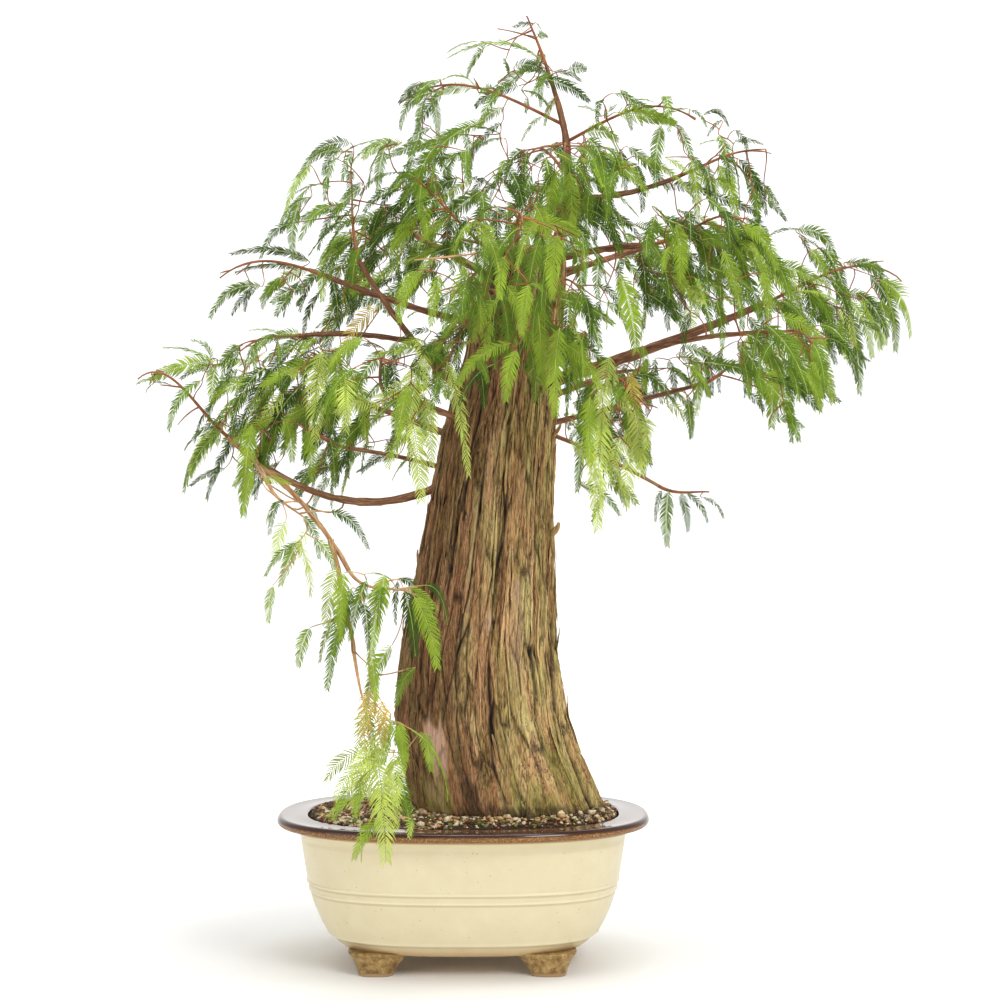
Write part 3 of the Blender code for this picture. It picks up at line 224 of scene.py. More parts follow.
# named sprays of each mass, as they stand before the trunk's plane: root, tip (millimetres right
# of the middle and up), lift and apparent width in hundredths, and tint
FRONDS = {
    "left_upper": (
        (-175, 642, -248, 649, 10, 50, 2), (-184, 636, -244, 632, 8, 40, 2),
        (-219, 619, -267, 590, 20, 60, 1), (-225, 616, -247, 593, 10, 70, 2),
        (-230, 618, -235, 596, 5, 90, 2), (-202, 627, -219, 599, 10, 80, 1),
        (-184, 625, -199, 591, 10, 80, 2), (-167, 632, -184, 596, 10, 80, 2),
        (-166, 634, -164, 605, 5, 100, 0), (-156, 630, -149, 582, 5, 100, 2),
        (-164, 616, -181, 565, 10, 40, 2), (-143, 616, -136, 588, 10, 70, 2),
        (-152, 590, -169, 581, 10, 60, 2)),
    "dome_left": (
        (-143, 744, -186, 720, 18, 80, 1), (-152, 737, -161, 699, 8, 90, 1),
        (-136, 743, -145, 717, 5, 90, 1), (-106, 747, -112, 701, 5, 80, 1),
        (-164, 713, -188, 705, 10, 50, 2), (-184, 696, -190, 645, 8, 100, 1),
        (-156, 694, -184, 662, 12, 90, 1), (-143, 697, -167, 653, 10, 80, 2),
        (-127, 710, -152, 680, 12, 80, 1), (-95, 724, -129, 703, 15, 70, 2),
        (-75, 717, -68, 662, 4, 110, 0), (-88, 701, -84, 653, 4, 110, 1),
        (-64, 731, -59, 684, 4, 110, 1), (-129, 655, -136, 620, 5, 100, 1),
        (-138, 669, -166, 642, 12, 80, 1), (-94, 751, -112, 745, 10, 60, 1),
        (-107, 694, -118, 657, 8, 90, 2), (-92, 676, -99, 636, 5, 100, 1)),
    "top_left": (
        (-53, 797, -92, 764, 25, 80, 1), (-63, 793, -57, 758, 5, 100, 1),
        (-69, 791, -76, 764, 6, 80, 1), (-20, 798, -59, 806, 30, 30, 1),
        (0, 760, -63, 752, 15, 50, 2), (-50, 757, -53, 731, 5, 80, 2),
        (-32, 759, -29, 735, 5, 100, 1), (-17, 758, -28, 719, 8, 60, 2),
        (0, 798, -17, 768, 10, 100, 1), (-64, 765, -87, 748, 10, 60, 1),
        (-55, 736, -44, 699, 5, 90, 1), (-28, 719, 0, 706, 10, 50, 2)),
    "top": (
        (38, 828, -49, 829, 18, 70, 1), (30, 864, 17, 872, 5, 50, 2),
        (33, 864, 38, 855, 5, 50, 2), (29, 863, 12, 858, 8, 40, 2), (38, 826, 14, 809, 12, 70, 1),
        (35, 818, -2, 807, 12, 50, 1), (18, 811, -8, 790, 12, 90, 1),
        (41, 820, 44, 802, 5, 80, 2), (51, 817, 75, 808, 12, 60, 2),
        (55, 807, 77, 792, 12, 60, 2), (48, 815, 29, 794, 10, 70, 1),
        (52, 794, 41, 767, 8, 70, 1), (39, 776, 20, 753, 10, 60, 1)),
    "top_right": (
        (94, 776, 72, 785, 10, 60, 1), (96, 774, 107, 786, 10, 60, 1),
        (118, 787, 141, 789, 15, 60, 1), (121, 787, 145, 779, 12, 60, 1),
        (115, 783, 121, 763, 5, 90, 1), (129, 779, 151, 774, 10, 40, 1),
        (151, 774, 175, 782, 18, 60, 1), (175, 782, 190, 766, 15, 60, 1),
        (149, 768, 143, 710, 4, 110, 1), (163, 765, 177, 736, 5, 110, 1),
        (176, 736, 181, 685, 4, 110, 0), (110, 745, 116, 708, 4, 100, 2),
        (97, 745, 92, 706, 4, 110, 1), (78, 745, 74, 702, 4, 110, 1)),
    "right_shoulder": (
        (186, 776, 210, 767, 35, 50, 2), (204, 772, 191, 758, 10, 40, 2),
        (216, 763, 227, 735, 15, 40, 2), (216, 752, 242, 750, 12, 50, 2),
        (207, 752, 184, 750, 12, 50, 1), (219, 737, 245, 685, 10, 70, 2),
        (201, 731, 219, 680, 5, 120, 0), (230, 719, 256, 695, 8, 60, 2),
        (233, 710, 237, 675, 5, 100, 1), (189, 731, 195, 690, 5, 90, 1)),
    "right_tip": (
        (272, 671, 309, 640, 25, 90, 1), (248, 666, 276, 672, 10, 50, 2),
        (276, 666, 286, 642, 10, 60, 2), (317, 641, 363, 609, 20, 70, 1),
        (350, 625, 379, 574, 22, 110, 0), (340, 630, 364, 559, 12, 90, 1),
        (276, 634, 287, 577, 6, 110, 1), (305, 625, 324, 586, 10, 100, 1),
        (331, 607, 350, 561, 8, 110, 0), (322, 596, 331, 520, 4, 90, 1),
        (276, 584, 268, 476, 4, 90, 1), (258, 570, 250, 489, 3, 120, 0),
        (291, 579, 294, 510, 3, 120, 0), (241, 565, 254, 527, 6, 110, 1),
        (311, 588, 318, 552, 5, 110, 0), (296, 607, 304, 559, 5, 110, 1),
        (263, 607, 269, 561, 5, 110, 1), (239, 607, 244, 565, 5, 100, 1),
        (350, 607, 354, 565, 5, 100, 0), (223, 544, 225, 517, 5, 70, 2)),
    "right_low": (
        (186, 565, 195, 520, 6, 100, 2), (173, 519, 175, 480, 4, 80, 2),
        (155, 552, 161, 515, 5, 90, 2), (143, 553, 143, 517, 4, 90, 2),
        (134, 550, 133, 523, 4, 90, 0), (204, 561, 202, 522, 5, 90, 2)),
    "right_upper": (
        (223, 675, 254, 634, 15, 110, 0), (212, 667, 228, 607, 6, 110, 1),
        (184, 667, 190, 607, 5, 110, 1), (162, 676, 166, 621, 4, 120, 0),
        (143, 685, 138, 634, 4, 100, 1), (239, 653, 267, 607, 12, 110, 1),
        (204, 653, 221, 596, 6, 110, 0), (129, 653, 134, 598, 4, 100, 2),
        (106, 685, 129, 662, 10, 80, 2), (225, 634, 239, 588, 5, 110, 1)),
    "right_shoot": (
        (241, 632, 247, 586, 5, 110, 0), (184, 616, 195, 575, 5, 100, 1),
        (156, 616, 155, 579, 5, 100, 2), (216, 621, 223, 579, 5, 100, 1),
        (199, 607, 204, 559, 5, 90, 1), (175, 596, 169, 559, 5, 90, 2)),
    "right_inner": (
        (101, 555, 93, 478, 3, 120, 3), (95, 504, 90, 395, 2, 120, 3),
        (88, 533, 71, 430, 3, 110, 1), (118, 540, 125, 478, 4, 80, 4),
        (123, 507, 130, 446, 3, 110, 3), (121, 467, 116, 417, 3, 100, 3),
        (83, 518, 83, 458, 3, 110, 0), (110, 482, 103, 437, 3, 100, 3),
        (78, 579, 72, 522, 3, 110, 1), (131, 565, 134, 540, 3, 100, 1),
        (92, 607, 85, 561, 4, 100, 2), (69, 570, 66, 522, 3, 110, 0)),
    "right_lone": (
        (149, 432, 143, 403, 5, 90, 2), (155, 431, 154, 380, 3, 110, 1),
        (166, 429, 173, 394, 5, 90, 2), (171, 429, 191, 402, 12, 60, 2),
        (186, 425, 206, 406, 15, 50, 2)),
    "front_right": (
        (55, 581, 51, 500, 3, 130, 0), (44, 621, 42, 561, 3, 120, 1),
        (33, 607, 37, 540, 3, 120, 0), (66, 616, 61, 565, 3, 110, 1),
        (28, 561, 33, 513, 3, 110, 1)),
    "front_left": (
        (15, 561, 5, 513, 4, 120, 0), (-2, 607, -24, 568, 10, 120, 0),
        (-9, 588, -13, 559, 5, 120, 0), (5, 598, 7, 552, 3, 120, 1),
        (-20, 607, -28, 574, 5, 110, 1), (-28, 636, -44, 605, 8, 110, 0),
        (-55, 631, -63, 583, 4, 110, 0), (-77, 634, -93, 586, 7, 110, 0),
        (18, 634, 11, 579, 3, 120, 1), (-35, 579, -39, 540, 4, 100, 2)),
    "front_high": (
        (53, 667, 48, 607, 3, 120, 0), (37, 664, 26, 607, 4, 120, 1),
        (69, 653, 75, 607, 5, 110, 1), (5, 648, 0, 607, 4, 110, 0),
        (110, 630, 125, 559, 5, 130, 0), (26, 621, 20, 575, 3, 120, 0),
        (92, 648, 90, 607, 4, 100, 1), (-11, 662, -17, 621, 4, 110, 1)),
    "upper_centre": (
        (52, 728, 44, 666, 4, 120, 0), (63, 724, 66, 669, 3, 120, 0),
        (83, 713, 81, 662, 3, 110, 1), (29, 722, 20, 688, 6, 110, 1),
        (25, 743, 24, 717, 4, 90, 1), (92, 702, 88, 662, 4, 100, 2),
        (107, 736, 101, 688, 4, 110, 1), (41, 694, 37, 642, 3, 110, 1),
        (125, 731, 131, 688, 5, 100, 2)),
    "upper_left": (
        (7, 680, 11, 642, 5, 100, 1), (-15, 693, -28, 651, 6, 110, 1),
        (-46, 685, -50, 642, 4, 100, 2), (-7, 671, -13, 634, 4, 110, 0),
        (-35, 671, -44, 630, 5, 110, 1), (17, 694, -7, 722, 10, 70, 1),
        (-20, 699, 0, 678, 10, 60, 2)),
    "left_middle": (
        (-184, 576, -219, 565, 12, 80, 1), (-156, 577, -181, 555, 10, 80, 2),
        (-127, 575, -140, 546, 8, 80, 1), (-94, 569, -103, 540, 6, 80, 1),
        (-198, 574, -230, 579, 10, 60, 1), (-164, 561, -170, 476, 3, 120, 3),
        (-151, 559, -151, 493, 3, 120, 0), (-138, 546, -123, 476, 4, 110, 0),
        (-112, 601, -147, 559, 6, 90, 4), (-166, 566, -208, 570, 12, 40, 2),
        (-173, 564, -213, 550, 12, 60, 1), (-184, 559, -198, 522, 6, 100, 1),
        (-143, 533, -143, 485, 3, 110, 1), (-129, 565, -110, 563, 10, 50, 2)),
    "left_inner": (
        (-73, 554, -87, 476, 3, 110, 3), (-81, 496, -73, 421, 3, 110, 3),
        (-69, 517, -63, 454, 3, 90, 3), (-49, 550, -29, 445, 3, 50, 3),
        (-99, 547, -96, 496, 4, 100, 2), (-110, 552, -99, 513, 4, 100, 2),
        (-55, 570, -57, 522, 4, 100, 2), (-83, 529, -94, 478, 4, 110, 0),
        (-90, 561, -107, 522, 6, 90, 2), (-64, 579, -92, 570, 10, 60, 2)),
    "left_low": (
        (-263, 547, -309, 563, 12, 50, 1), (-266, 552, -284, 570, 22, 40, 1),
        (-261, 546, -294, 534, 10, 60, 2), (-262, 544, -265, 513, 4, 120, 0),
        (-274, 533, -305, 486, 14, 70, 1), (-252, 524, -281, 476, 10, 60, 2),
        (-239, 518, -265, 485, 10, 70, 1), (-256, 487, -291, 430, 10, 60, 1),
        (-243, 482, -270, 423, 6, 80, 2), (-228, 492, -236, 408, 3, 120, 0),
        (-215, 515, -219, 450, 3, 110, 1), (-202, 507, -208, 467, 3, 120, 1),
        (-197, 496, -191, 458, 4, 120, 0), (-178, 487, -173, 439, 4, 110, 0),
        (-320, 533, -339, 529, 10, 50, 1), (-319, 534, -311, 539, 10, 50, 2),
        (-318, 531, -302, 528, 10, 40, 2), (-320, 529, -326, 521, 10, 50, 2),
        (-219, 544, -195, 517, 5, 90, 1), (-230, 540, -243, 519, 5, 100, 1),
        (-210, 478, -217, 443, 4, 110, 1), (-156, 478, -153, 436, 4, 90, 1)),
    "left_thin": (
        (-138, 487, -136, 458, 4, 90, 1), (-156, 492, -151, 450, 4, 90, 2),
        (-94, 464, -132, 448, 8, 40, 2), (-184, 515, -178, 482, 4, 100, 1)),
    "cascade_upper": (
        (-197, 404, -207, 366, 6, 90, 3), (-184, 386, -202, 344, 5, 90, 0),
        (-209, 344, -213, 310, 5, 90, 0), (-184, 381, -174, 333, 6, 50, 3),
        (-203, 423, -215, 401, 10, 70, 0), (-228, 450, -236, 412, 3, 100, 0),
        (-167, 386, -153, 360, 8, 80, 0), (-149, 362, -160, 308, 4, 110, 3),
        (-219, 441, -193, 437, 8, 60, 0)),
    "cascade_middle": (
        (-136, 342, -159, 248, 4, 110, 1), (-123, 349, -138, 294, 4, 100, 1),
        (-105, 354, -118, 283, 3, 120, 0), (-88, 340, -78, 279, 3, 120, 2),
        (-79, 334, -58, 268, 6, 120, 0), (-85, 342, -57, 321, 8, 70, 0),
        (-143, 356, -147, 294, 3, 110, 0), (-94, 349, -96, 308, 3, 80, 2),
        (-123, 355, -99, 349, 12, 50, 0)),
    "cascade_low": (
        (-120, 285, -114, 237, 3, 100, 0), (-118, 250, -125, 191, 3, 110, 4),
        (-116, 204, -138, 154, 6, 100, 3), (-136, 160, -153, 128, 6, 70, 0),
        (-113, 185, -105, 90, 2, 130, 3), (-93, 218, -89, 172, 3, 110, 0),
        (-101, 218, -107, 180, 3, 90, 0), (-96, 174, -82, 114, 4, 80, 1),
        (-110, 239, -107, 198, 3, 90, 4), (-84, 213, -48, 147, 14, 20, 0),
        (-104, 228, -112, 176, 3, 110, 3), (-112, 198, -124, 150, 4, 110, 3),
        (-98, 190, -96, 142, 3, 110, 3), (-122, 172, -133, 132, 4, 100, 0)),
}


# ---------------------------------------------------------------- settings a user may change
def linear(code):
    """Linear colour of an sRGB hex code such as 8a7a5c."""
    parts = [int(code[k:k + 2], 16) / 255.0 for k in (0, 2, 4)]
    curve = [p / 12.92 if p <= 0.04045 else ((p + 0.055) / 1.055) ** 2.4 for p in parts]
    return (*curve, 1.0)


def length(name, text, default):
    """A length in metres that shows in the sidebar."""
    return FloatProperty(name=name, description=text, default=default, unit="LENGTH",
                         precision=5, min=0.0)


def share(name, text, default):
    """A plain number that shows in the sidebar."""
    return FloatProperty(name=name, description=text, default=default, min=0.0)


def colour(name, text, code):
    """A colour that shows in the sidebar."""
    return FloatVectorProperty(name=name, description=text, subtype="COLOR", size=4,
                               min=0.0, max=1.0, default=linear(code))


class CypressBark(bpy.types.PropertyGroup):
    """Sizes and colours of the bark on the trunk and the boughs."""
    plate_rise: length("Plate rise", "How far a strip of bark stands out", 1.5 * MM)
    seam_depth: length("Seam depth", "Depth of the seam between two strips", 1.7 * MM)
    fibre_depth: length("Fibre depth", "Depth of the seam between two fibres", 0.7 * MM)
    fissure_depth: length("Fissure depth", "Depth of the long open fissures", 4.0 * MM)
    chip_rise: length("Chip rise", "How far small chips of bark stand out", 0.9 * MM)
    fibre_grain: length("Fibre grain", "Width of the finest fibres", 1.3 * MM)
    dark: colour("Dark bark", "The dark strips", "62431f")
    middle: colour("Middle bark", "Most of the bark", "c4a67b")
    light: colour("Light bark", "The weathered faces of strips", "e8d4aa")
    # painted shade deep in the seams and fissures, and also the dark of stains and hair cracks
    crack: colour("Crack", "Deep in seams and fissures", "281b11")
    bare: colour("Bare wood", "Smooth patches where a plate has dropped", "c09a80")
    moss: colour("Moss", "Dry moss near the soil", "8f8a3a")
    bough: colour("Bough bark", "Bark of the older boughs", "7c5136")
    bough_dark: colour("Bough crack", "Dark streaks in the boughs' bark", "4a2c1b")


class CypressFoliage(bpy.types.PropertyGroup):
    """Sizes and colours of the twigs and needles."""
    needle_length: length("Needle length", "The longest needles of a spray", 13.5 * MM)
    needle_half_width: length("Needle half width", "Half the width of a needle", 0.70 * MM)
    needle_half_thick: length("Needle half thickness", "Height of a needle's keel", 0.25 * MM)
    needle_gap: length("Needle spacing", "From one needle to the next on a side", 1.55 * MM)
    spray_short: length("Shortest spray", "Length of the shortest full spray", 38.0 * MM)
    spray_long: length("Longest spray", "Length of the longest spray", 74.0 * MM)
    fullness: share("Fullness", "More or fewer sprays than the usual number", 1.0)
    seed: IntProperty(name="Seed", description="Another seed grows other twigs", default=900)
    bright: colour("Bright needles", "Sunlit sprays in front", "93ae33")
    green: colour("Green needles", "Most sprays", "6c8c24")
    # painted shade: the darkest green stands for the shade on sprays inside, above and at the back of
    # the crown
    deep: colour("Deep needles", "Older sprays inside the crown", "42611a")
    pale: colour("Pale needles", "Young hanging sprays", "c3d465")
    gold: colour("Gold needles", "Turning sprays", "cbb055")
    twig: colour("Twig", "Young red-brown wood", "92582f")
    shoot: colour("Shoot", "Tan wood of the cascade", "c39668")


class CypressPot(bpy.types.PropertyGroup):
    """Sizes and colours of the pot and its soil."""
    ridge: length("Ridge", "How far the two fine ridges stand out", 0.8 * MM)
    grain: length("Grain", "Half size of a grain of grit", 1.6 * MM)
    grains: IntProperty(name="Grains", description="Grains on the soil", default=6400)
    cream: colour("Cream glaze", "The body's satin glaze", "d7c89f")
    amber: colour("Amber glaze", "Where the dark glaze runs thin", "784a12")
    lip: colour("Lip glaze", "The dark glossy lip", "3a1c12")
    ledge: colour("Ledge glaze", "The flat top of the rim", "6a4a36")
    clay: colour("Clay", "Bare fired clay at the soles", "a98c68")
    soil: colour("Soil", "Damp soil between the grains", "3a2c1e")


def settings(name):
    """One of the scene's groups of settings."""
    return getattr(bpy.context.scene, "cypress_" + name)


# ---------------------------------------------------------------- arrays
def unit(vectors):
    """Vectors of length one along the last axis."""
    size = np.linalg.norm(vectors, axis=-1, keepdims=True)
    return vectors / np.maximum(size, 1e-9)


def dot(a, b):
    """Dot products along the last axis, which is kept."""
    return (a * b).sum(axis=-1, keepdims=True)


def hashed(i, j, seed):
    """A repeatable number from 0 to 1 for each pair: the fraction of a large sine."""
    value = np.sin(i * 127.1 + j * 311.7 + seed * 74.7) * 43758.5453
    return value - np.floor(value)


def smooth(x):
    """Smoothstep: 3x squared less 2x cubed, between 0 and 1."""
    x = np.clip(x, 0.0, 1.0)
    return x * x * (3.0 - 2.0 * x)


def short_way(angle):
    """An angle in degrees, brought to within half a turn either way."""
    return (angle + 180.0) % 360.0 - 180.0


def ripple(u, v, around, seed):
    """Value noise from -1 to 1: hashed corners blended by smoothstep, closed after around cells."""
    iu, iv = np.floor(u), np.floor(v)
    fu, fv = smooth(u - iu), smooth(v - iv)
    near = hashed(iu % around, iv, seed) * (1 - fu) + hashed((iu + 1) % around, iv, seed) * fu
    far = (hashed(iu % around, iv + 1, seed) * (1 - fu)
           + hashed((iu + 1) % around, iv + 1, seed) * fu)
    return 2.0 * (near * (1 - fv) + far * fv) - 1.0


def cells(u, v, around, seed):
    """Jittered cells that close after around: nearest and next distance, and the cell's tone."""
    iu, iv = np.floor(u), np.floor(v)
    first = np.full(np.shape(u), 9.0)
    second, tone = first.copy(), np.zeros(np.shape(u))
    for du in (-1, 0, 1):
        for dv in (-1, 0, 1):
            cu, cv = iu + du, iv + dv
            key = cu % around
            pu = cu + 0.12 + 0.76 * hashed(key, cv, seed)
            pv = cv + hashed(key, cv, seed + 1)
            away = np.hypot(pu - u, pv - v)
            nearer = away < first
            second = np.where(nearer, first, np.minimum(second, away))
            tone = np.where(nearer, hashed(key, cv, seed + 2), tone)
            first = np.where(nearer, away, first)
    return first, second, tone


def put(name, vertices, faces, material, marks=None, flat=False):
    """Make a mesh object at the origin from arrays of faces, put in by foreach_set."""
    mesh = bpy.data.meshes.new(name)
    mesh.vertices.add(len(vertices))
    mesh.vertices.foreach_set("co", np.asarray(vertices, np.float32).ravel())
    loops = np.concatenate([np.asarray(f).ravel() for f in faces])
    sizes = np.concatenate([np.full(len(f), np.shape(f)[1]) for f in faces])
    mesh.loops.add(len(loops))
    mesh.loops.foreach_set("vertex_index", loops.astype(np.int32))
    mesh.polygons.add(len(sizes))
    starts = np.concatenate([[0], np.cumsum(sizes)[:-1]])
    mesh.polygons.foreach_set("loop_start", starts.astype(np.int32))
    mesh.update(calc_edges=True)
    if mesh.validate():
        raise RuntimeError(name + " has broken faces")
    if not flat:
        mesh.shade_smooth()
    for key, values in (marks or {}).items():
        layer = mesh.attributes.new(key, "FLOAT_VECTOR", "POINT")
        layer.data.foreach_set("vector", np.asarray(values, np.float32).ravel())
    mesh.materials.append(material)
    obj = bpy.data.objects.new(name, mesh)
    bpy.context.scene.collection.objects.link(obj)
    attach(obj, "root")
    return obj


def carried(points):
    """Directions along many paths, and two across them carried on without twist."""
    along = unit(np.gradient(points, axis=1))
    across = np.empty_like(along)
    start = np.cross(along[:, 0], (0.0, 0.0, 1.0))
    start[np.linalg.norm(start, axis=1) < 0.05] = (1.0, 0.0, 0.0)
    across[:, 0] = unit(start - along[:, 0] * dot(start, along[:, 0]))
    for k in range(1, points.shape[1]):
        last = across[:, k - 1]
        across[:, k] = unit(last - along[:, k] * dot(last, along[:, k]))
    return along, across, np.cross(along, across)


def sweep(points, across, other, wide, thick, sides):
    """Closed skins of many paths: at each point an ellipse, wide along across and thick
    along other, and a pole on each end.  Gives the vertices and the faces."""
    count, stations = points.shape[:2]
    angle = np.arange(sides) * 2.0 * math.pi / sides
    turn = np.stack((np.cos(angle), np.sin(angle)))[:, None, None, :, None]
    ring = (points[:, :, None] + turn[0] * (across * wide[..., None])[:, :, None]
            + turn[1] * (other * thick[..., None])[:, :, None])
    each = stations * sides + 2
    vertices = np.concatenate((ring.reshape(count, -1, 3), points[:, :1], points[:, -1:]), axis=1)
    row, i = np.meshgrid(np.arange(stations - 1), np.arange(sides), indexing="ij")
    here, beside = row * sides + i, row * sides + (i + 1) % sides
    quads = np.stack((here, beside, beside + sides, here + sides), axis=-1).reshape(-1, 4)
    i = np.arange(sides)
    j, last = (i + 1) % sides, (stations - 1) * sides
    poles = np.concatenate((np.stack((np.full(sides, each - 2), j, i), axis=1),
                            np.stack((np.full(sides, each - 1), last + i, last + j), axis=1)))
    shift = (np.arange(count) * each)[:, None, None]
    return (vertices.reshape(-1, 3), [(quads[None] + shift).reshape(-1, 4),
                                      (poles[None] + shift).reshape(-1, 3)])


def skin(rings):
    """Quads between rings, counter-clockwise seen from outside, and a fan at each end round a
    pole in the ring's middle.  Gives the vertices and the faces."""
    rows, around = rings.shape[:2]
    row, i = np.meshgrid(np.arange(rows - 1), np.arange(around), indexing="ij")
    here, beside = row * around + i, row * around + (i + 1) % around
    quads = np.stack((here, beside, beside + around, here + around), -1).reshape(-1, 4)
    i = np.arange(around)
    j, last, total = (i + 1) % around, (rows - 1) * around, rows * around
    fans = np.concatenate((np.stack((0 * i + total, j, i), axis=1),
                           np.stack((0 * i + total + 1, last + i, last + j), axis=1)))
    poles = np.stack((rings[0].mean(axis=0), rings[-1].mean(axis=0)))
    return np.concatenate((rings.reshape(-1, 3), poles)), [quads, fans]


def tubes(points, radii, sides):
    """Round tapering tubes along many paths."""
    along, across, other = carried(points)
    return sweep(points, across, other, radii, radii, sides)


# ---------------------------------------------------------------- materials
# colours that are laid over a material's own: painted light and shade on each side of the trunk,
# colours of weather and of flakes, and a painted shadow under and a painted highlight on the pot's
# ridges
TONES = {name: linear(code) for name, code in {
    "shaded side": "a48873", "turning side": "dfd0c3", "sunny side": "fffbe0",
    "olive weather": "f5ffe8", "red weather": "ffece6", "bough flake": "b98b60",
    "shoot streak": "7d5534", "shoot bark": "b98a5c", "thick cream": "e3d9b8",
    "toasted foot": "c39c62", "iron speck": "8a6a3a", "painted ridge shadow": "a58f5e",
    "painted ridge highlight": "f2e8c8", "dark amber": "6d4518", "pale amber": "c79a54",
    "foot shade": "6c5026", "foot glaze": "9a7a44", "foot light": "bda26c",
    "green rib": "b2bd58", "paper": "fbfbfa"}.items()}


def node(tree, kind, own=None, links=None, stops=None):
    """Add one node with its own settings, its sockets' values or links, and a ramp's stops.
    On Mix, socket 0 is the share of the second colour, 6 and 7 are the colours and output 2 is
    the blend; on Map Range, 0 is the value, 1 and 2 its range and 3 and 4 what that becomes."""
    made = tree.nodes.new(kind)
    for key, value in (own or {}).items():
        setattr(made, key, value)
    for key, value in (links or {}).items():
        if isinstance(value, bpy.types.NodeSocket):
            tree.links.new(value, made.inputs[key])
        else:
            made.inputs[key].default_value = value
    for k, (place, value) in enumerate(stops or ()):
        ramp = made.color_ramp.elements
        stop = ramp[k] if k < len(ramp) else ramp.new(place)
        stop.position = place
        stop.color = value
    return made


def blank(name, roughness, ior=1.5):
    """A new material and its tree and shader, with the shader's constants on its sockets."""
    material = bpy.data.materials.new(name)
    material.use_nodes = True
    tree = material.node_tree
    shader = tree.nodes["Principled BSDF"]
    shader.inputs["Roughness"].default_value = roughness
    shader.inputs["IOR"].default_value = ior
    return material, tree, shader


def bark_material():
    """Shredding bark: dry fibrous cork, dull all over, with dark hair cracks, paler worn faces,
    painted shade in its seams and painted side light.
    """
    s = settings("bark")
    material, tree, shader = blank("shredding_bark", 0.92, 1.45)
    relief, marks, grain = (node(tree, "ShaderNodeAttribute", {"attribute_name": name})
                            for name in ("relief", "marks", "grain"))
    deep = node(tree, "ShaderNodeSeparateXYZ", links={0: relief.outputs["Vector"]})
    spot = node(tree, "ShaderNodeSeparateXYZ", links={0: marks.outputs["Vector"]})
    # noises over fibres, strips, plates, weathered places and hair cracks, all drawn out ten
    # times along the trunk by the grain attribute: how many to a metre, and their detail
    fine, wide, cloud, weather, hairs = (
        node(tree, "ShaderNodeTexNoise", links={
            "Vector": grain.outputs["Vector"], "Scale": scale, "Detail": detail,
            "Roughness": 0.62}).outputs["Fac"]
        for scale, detail in ((1.0 / s.fibre_grain, 3.0), (150.0, 3.0), (45.0, 3.0),
                              (85.0, 2.0), (330.0, 2.0)))
    tone = -0.87
    for value, weight in ((deep.outputs["Y"], 0.62), (cloud, 0.9), (fine, 1.3)):
        tone = node(tree, "ShaderNodeMath", {"operation": "MULTIPLY_ADD"},
                    {0: value, 1: weight, 2: tone}).outputs[0]
    faces = node(tree, "ShaderNodeValToRGB", links={0: tone},
                 stops=((0.16, s.dark), (0.50, s.middle), (0.86, s.light)))
    # painted light and shade: the bark darker on the shaded side of the trunk and paler on the lit
    # side
    side = node(tree, "ShaderNodeValToRGB", links={0: deep.outputs["Z"]},
                stops=((0.0, TONES["shaded side"]), (0.45, TONES["turning side"]),
                       (1.0, TONES["sunny side"])))
    # plates weather olive in some places and red-brown in others, over about 12 mm
    hue = node(tree, "ShaderNodeValToRGB", links={0: weather},
               stops=((0.40, TONES["olive weather"]), (0.60, TONES["red weather"])))
    # thin cracks where a noise passes its middle
    cracks = []
    for value, width in ((wide, 0.030), (hairs, 0.028)):
        off = node(tree, "ShaderNodeMath", {"operation": "SUBTRACT"}, {0: value, 1: 0.5})
        off = node(tree, "ShaderNodeMath", {"operation": "ABSOLUTE"}, {0: off.outputs[0]})
        cracks.append(node(tree, "ShaderNodeMapRange", links={
            0: off.outputs[0], 1: 0.0, 2: width, 3: 1.0, 4: 0.0}).outputs[0])
    lines = node(tree, "ShaderNodeMath", {"operation": "MAXIMUM"}, {0: cracks[0], 1: cracks[1]})
    strength = node(tree, "ShaderNodeMath", {"operation": "MULTIPLY_ADD"},
                    {0: cloud, 1: 1.6, 2: -0.25})
    lines = node(tree, "ShaderNodeMath", {"operation": "MULTIPLY"},
                 {0: lines.outputs[0], 1: strength.outputs[0]}).outputs[0]
    face = faces.outputs["Color"]
    # laid on in turn: painted side light, weather, bare wood, moss, stains, hair cracks and painted
    # shade deep in the seams and fissures
    for share_of, over, way in ((1.0, side.outputs["Color"], "MULTIPLY"),
                                (1.0, hue.outputs["Color"], "MULTIPLY"),
                                (spot.outputs["Y"], s.bare, "MIX"),
                                (spot.outputs["X"], s.moss, "MIX"),
                                (spot.outputs["Z"], s.crack, "MIX"), (lines, s.crack, "MIX"),
                                (deep.outputs["X"], s.crack, "MIX")):
        face = node(tree, "ShaderNodeMix", {"data_type": "RGBA", "blend_type": way},
                    {0: share_of, 6: face, 7: over}).outputs[2]
    tree.links.new(face, shader.inputs["Base Color"])
    height = node(tree, "ShaderNodeMath", {"operation": "MULTIPLY_ADD"},
                  {0: lines, 1: -0.6, 2: fine})
    bump = node(tree, "ShaderNodeBump", links={
        "Strength": 0.8, "Distance": 1.0 * MM, "Height": height.outputs[0]})
    tree.links.new(bump.outputs["Normal"], shader.inputs["Normal"])
    return material


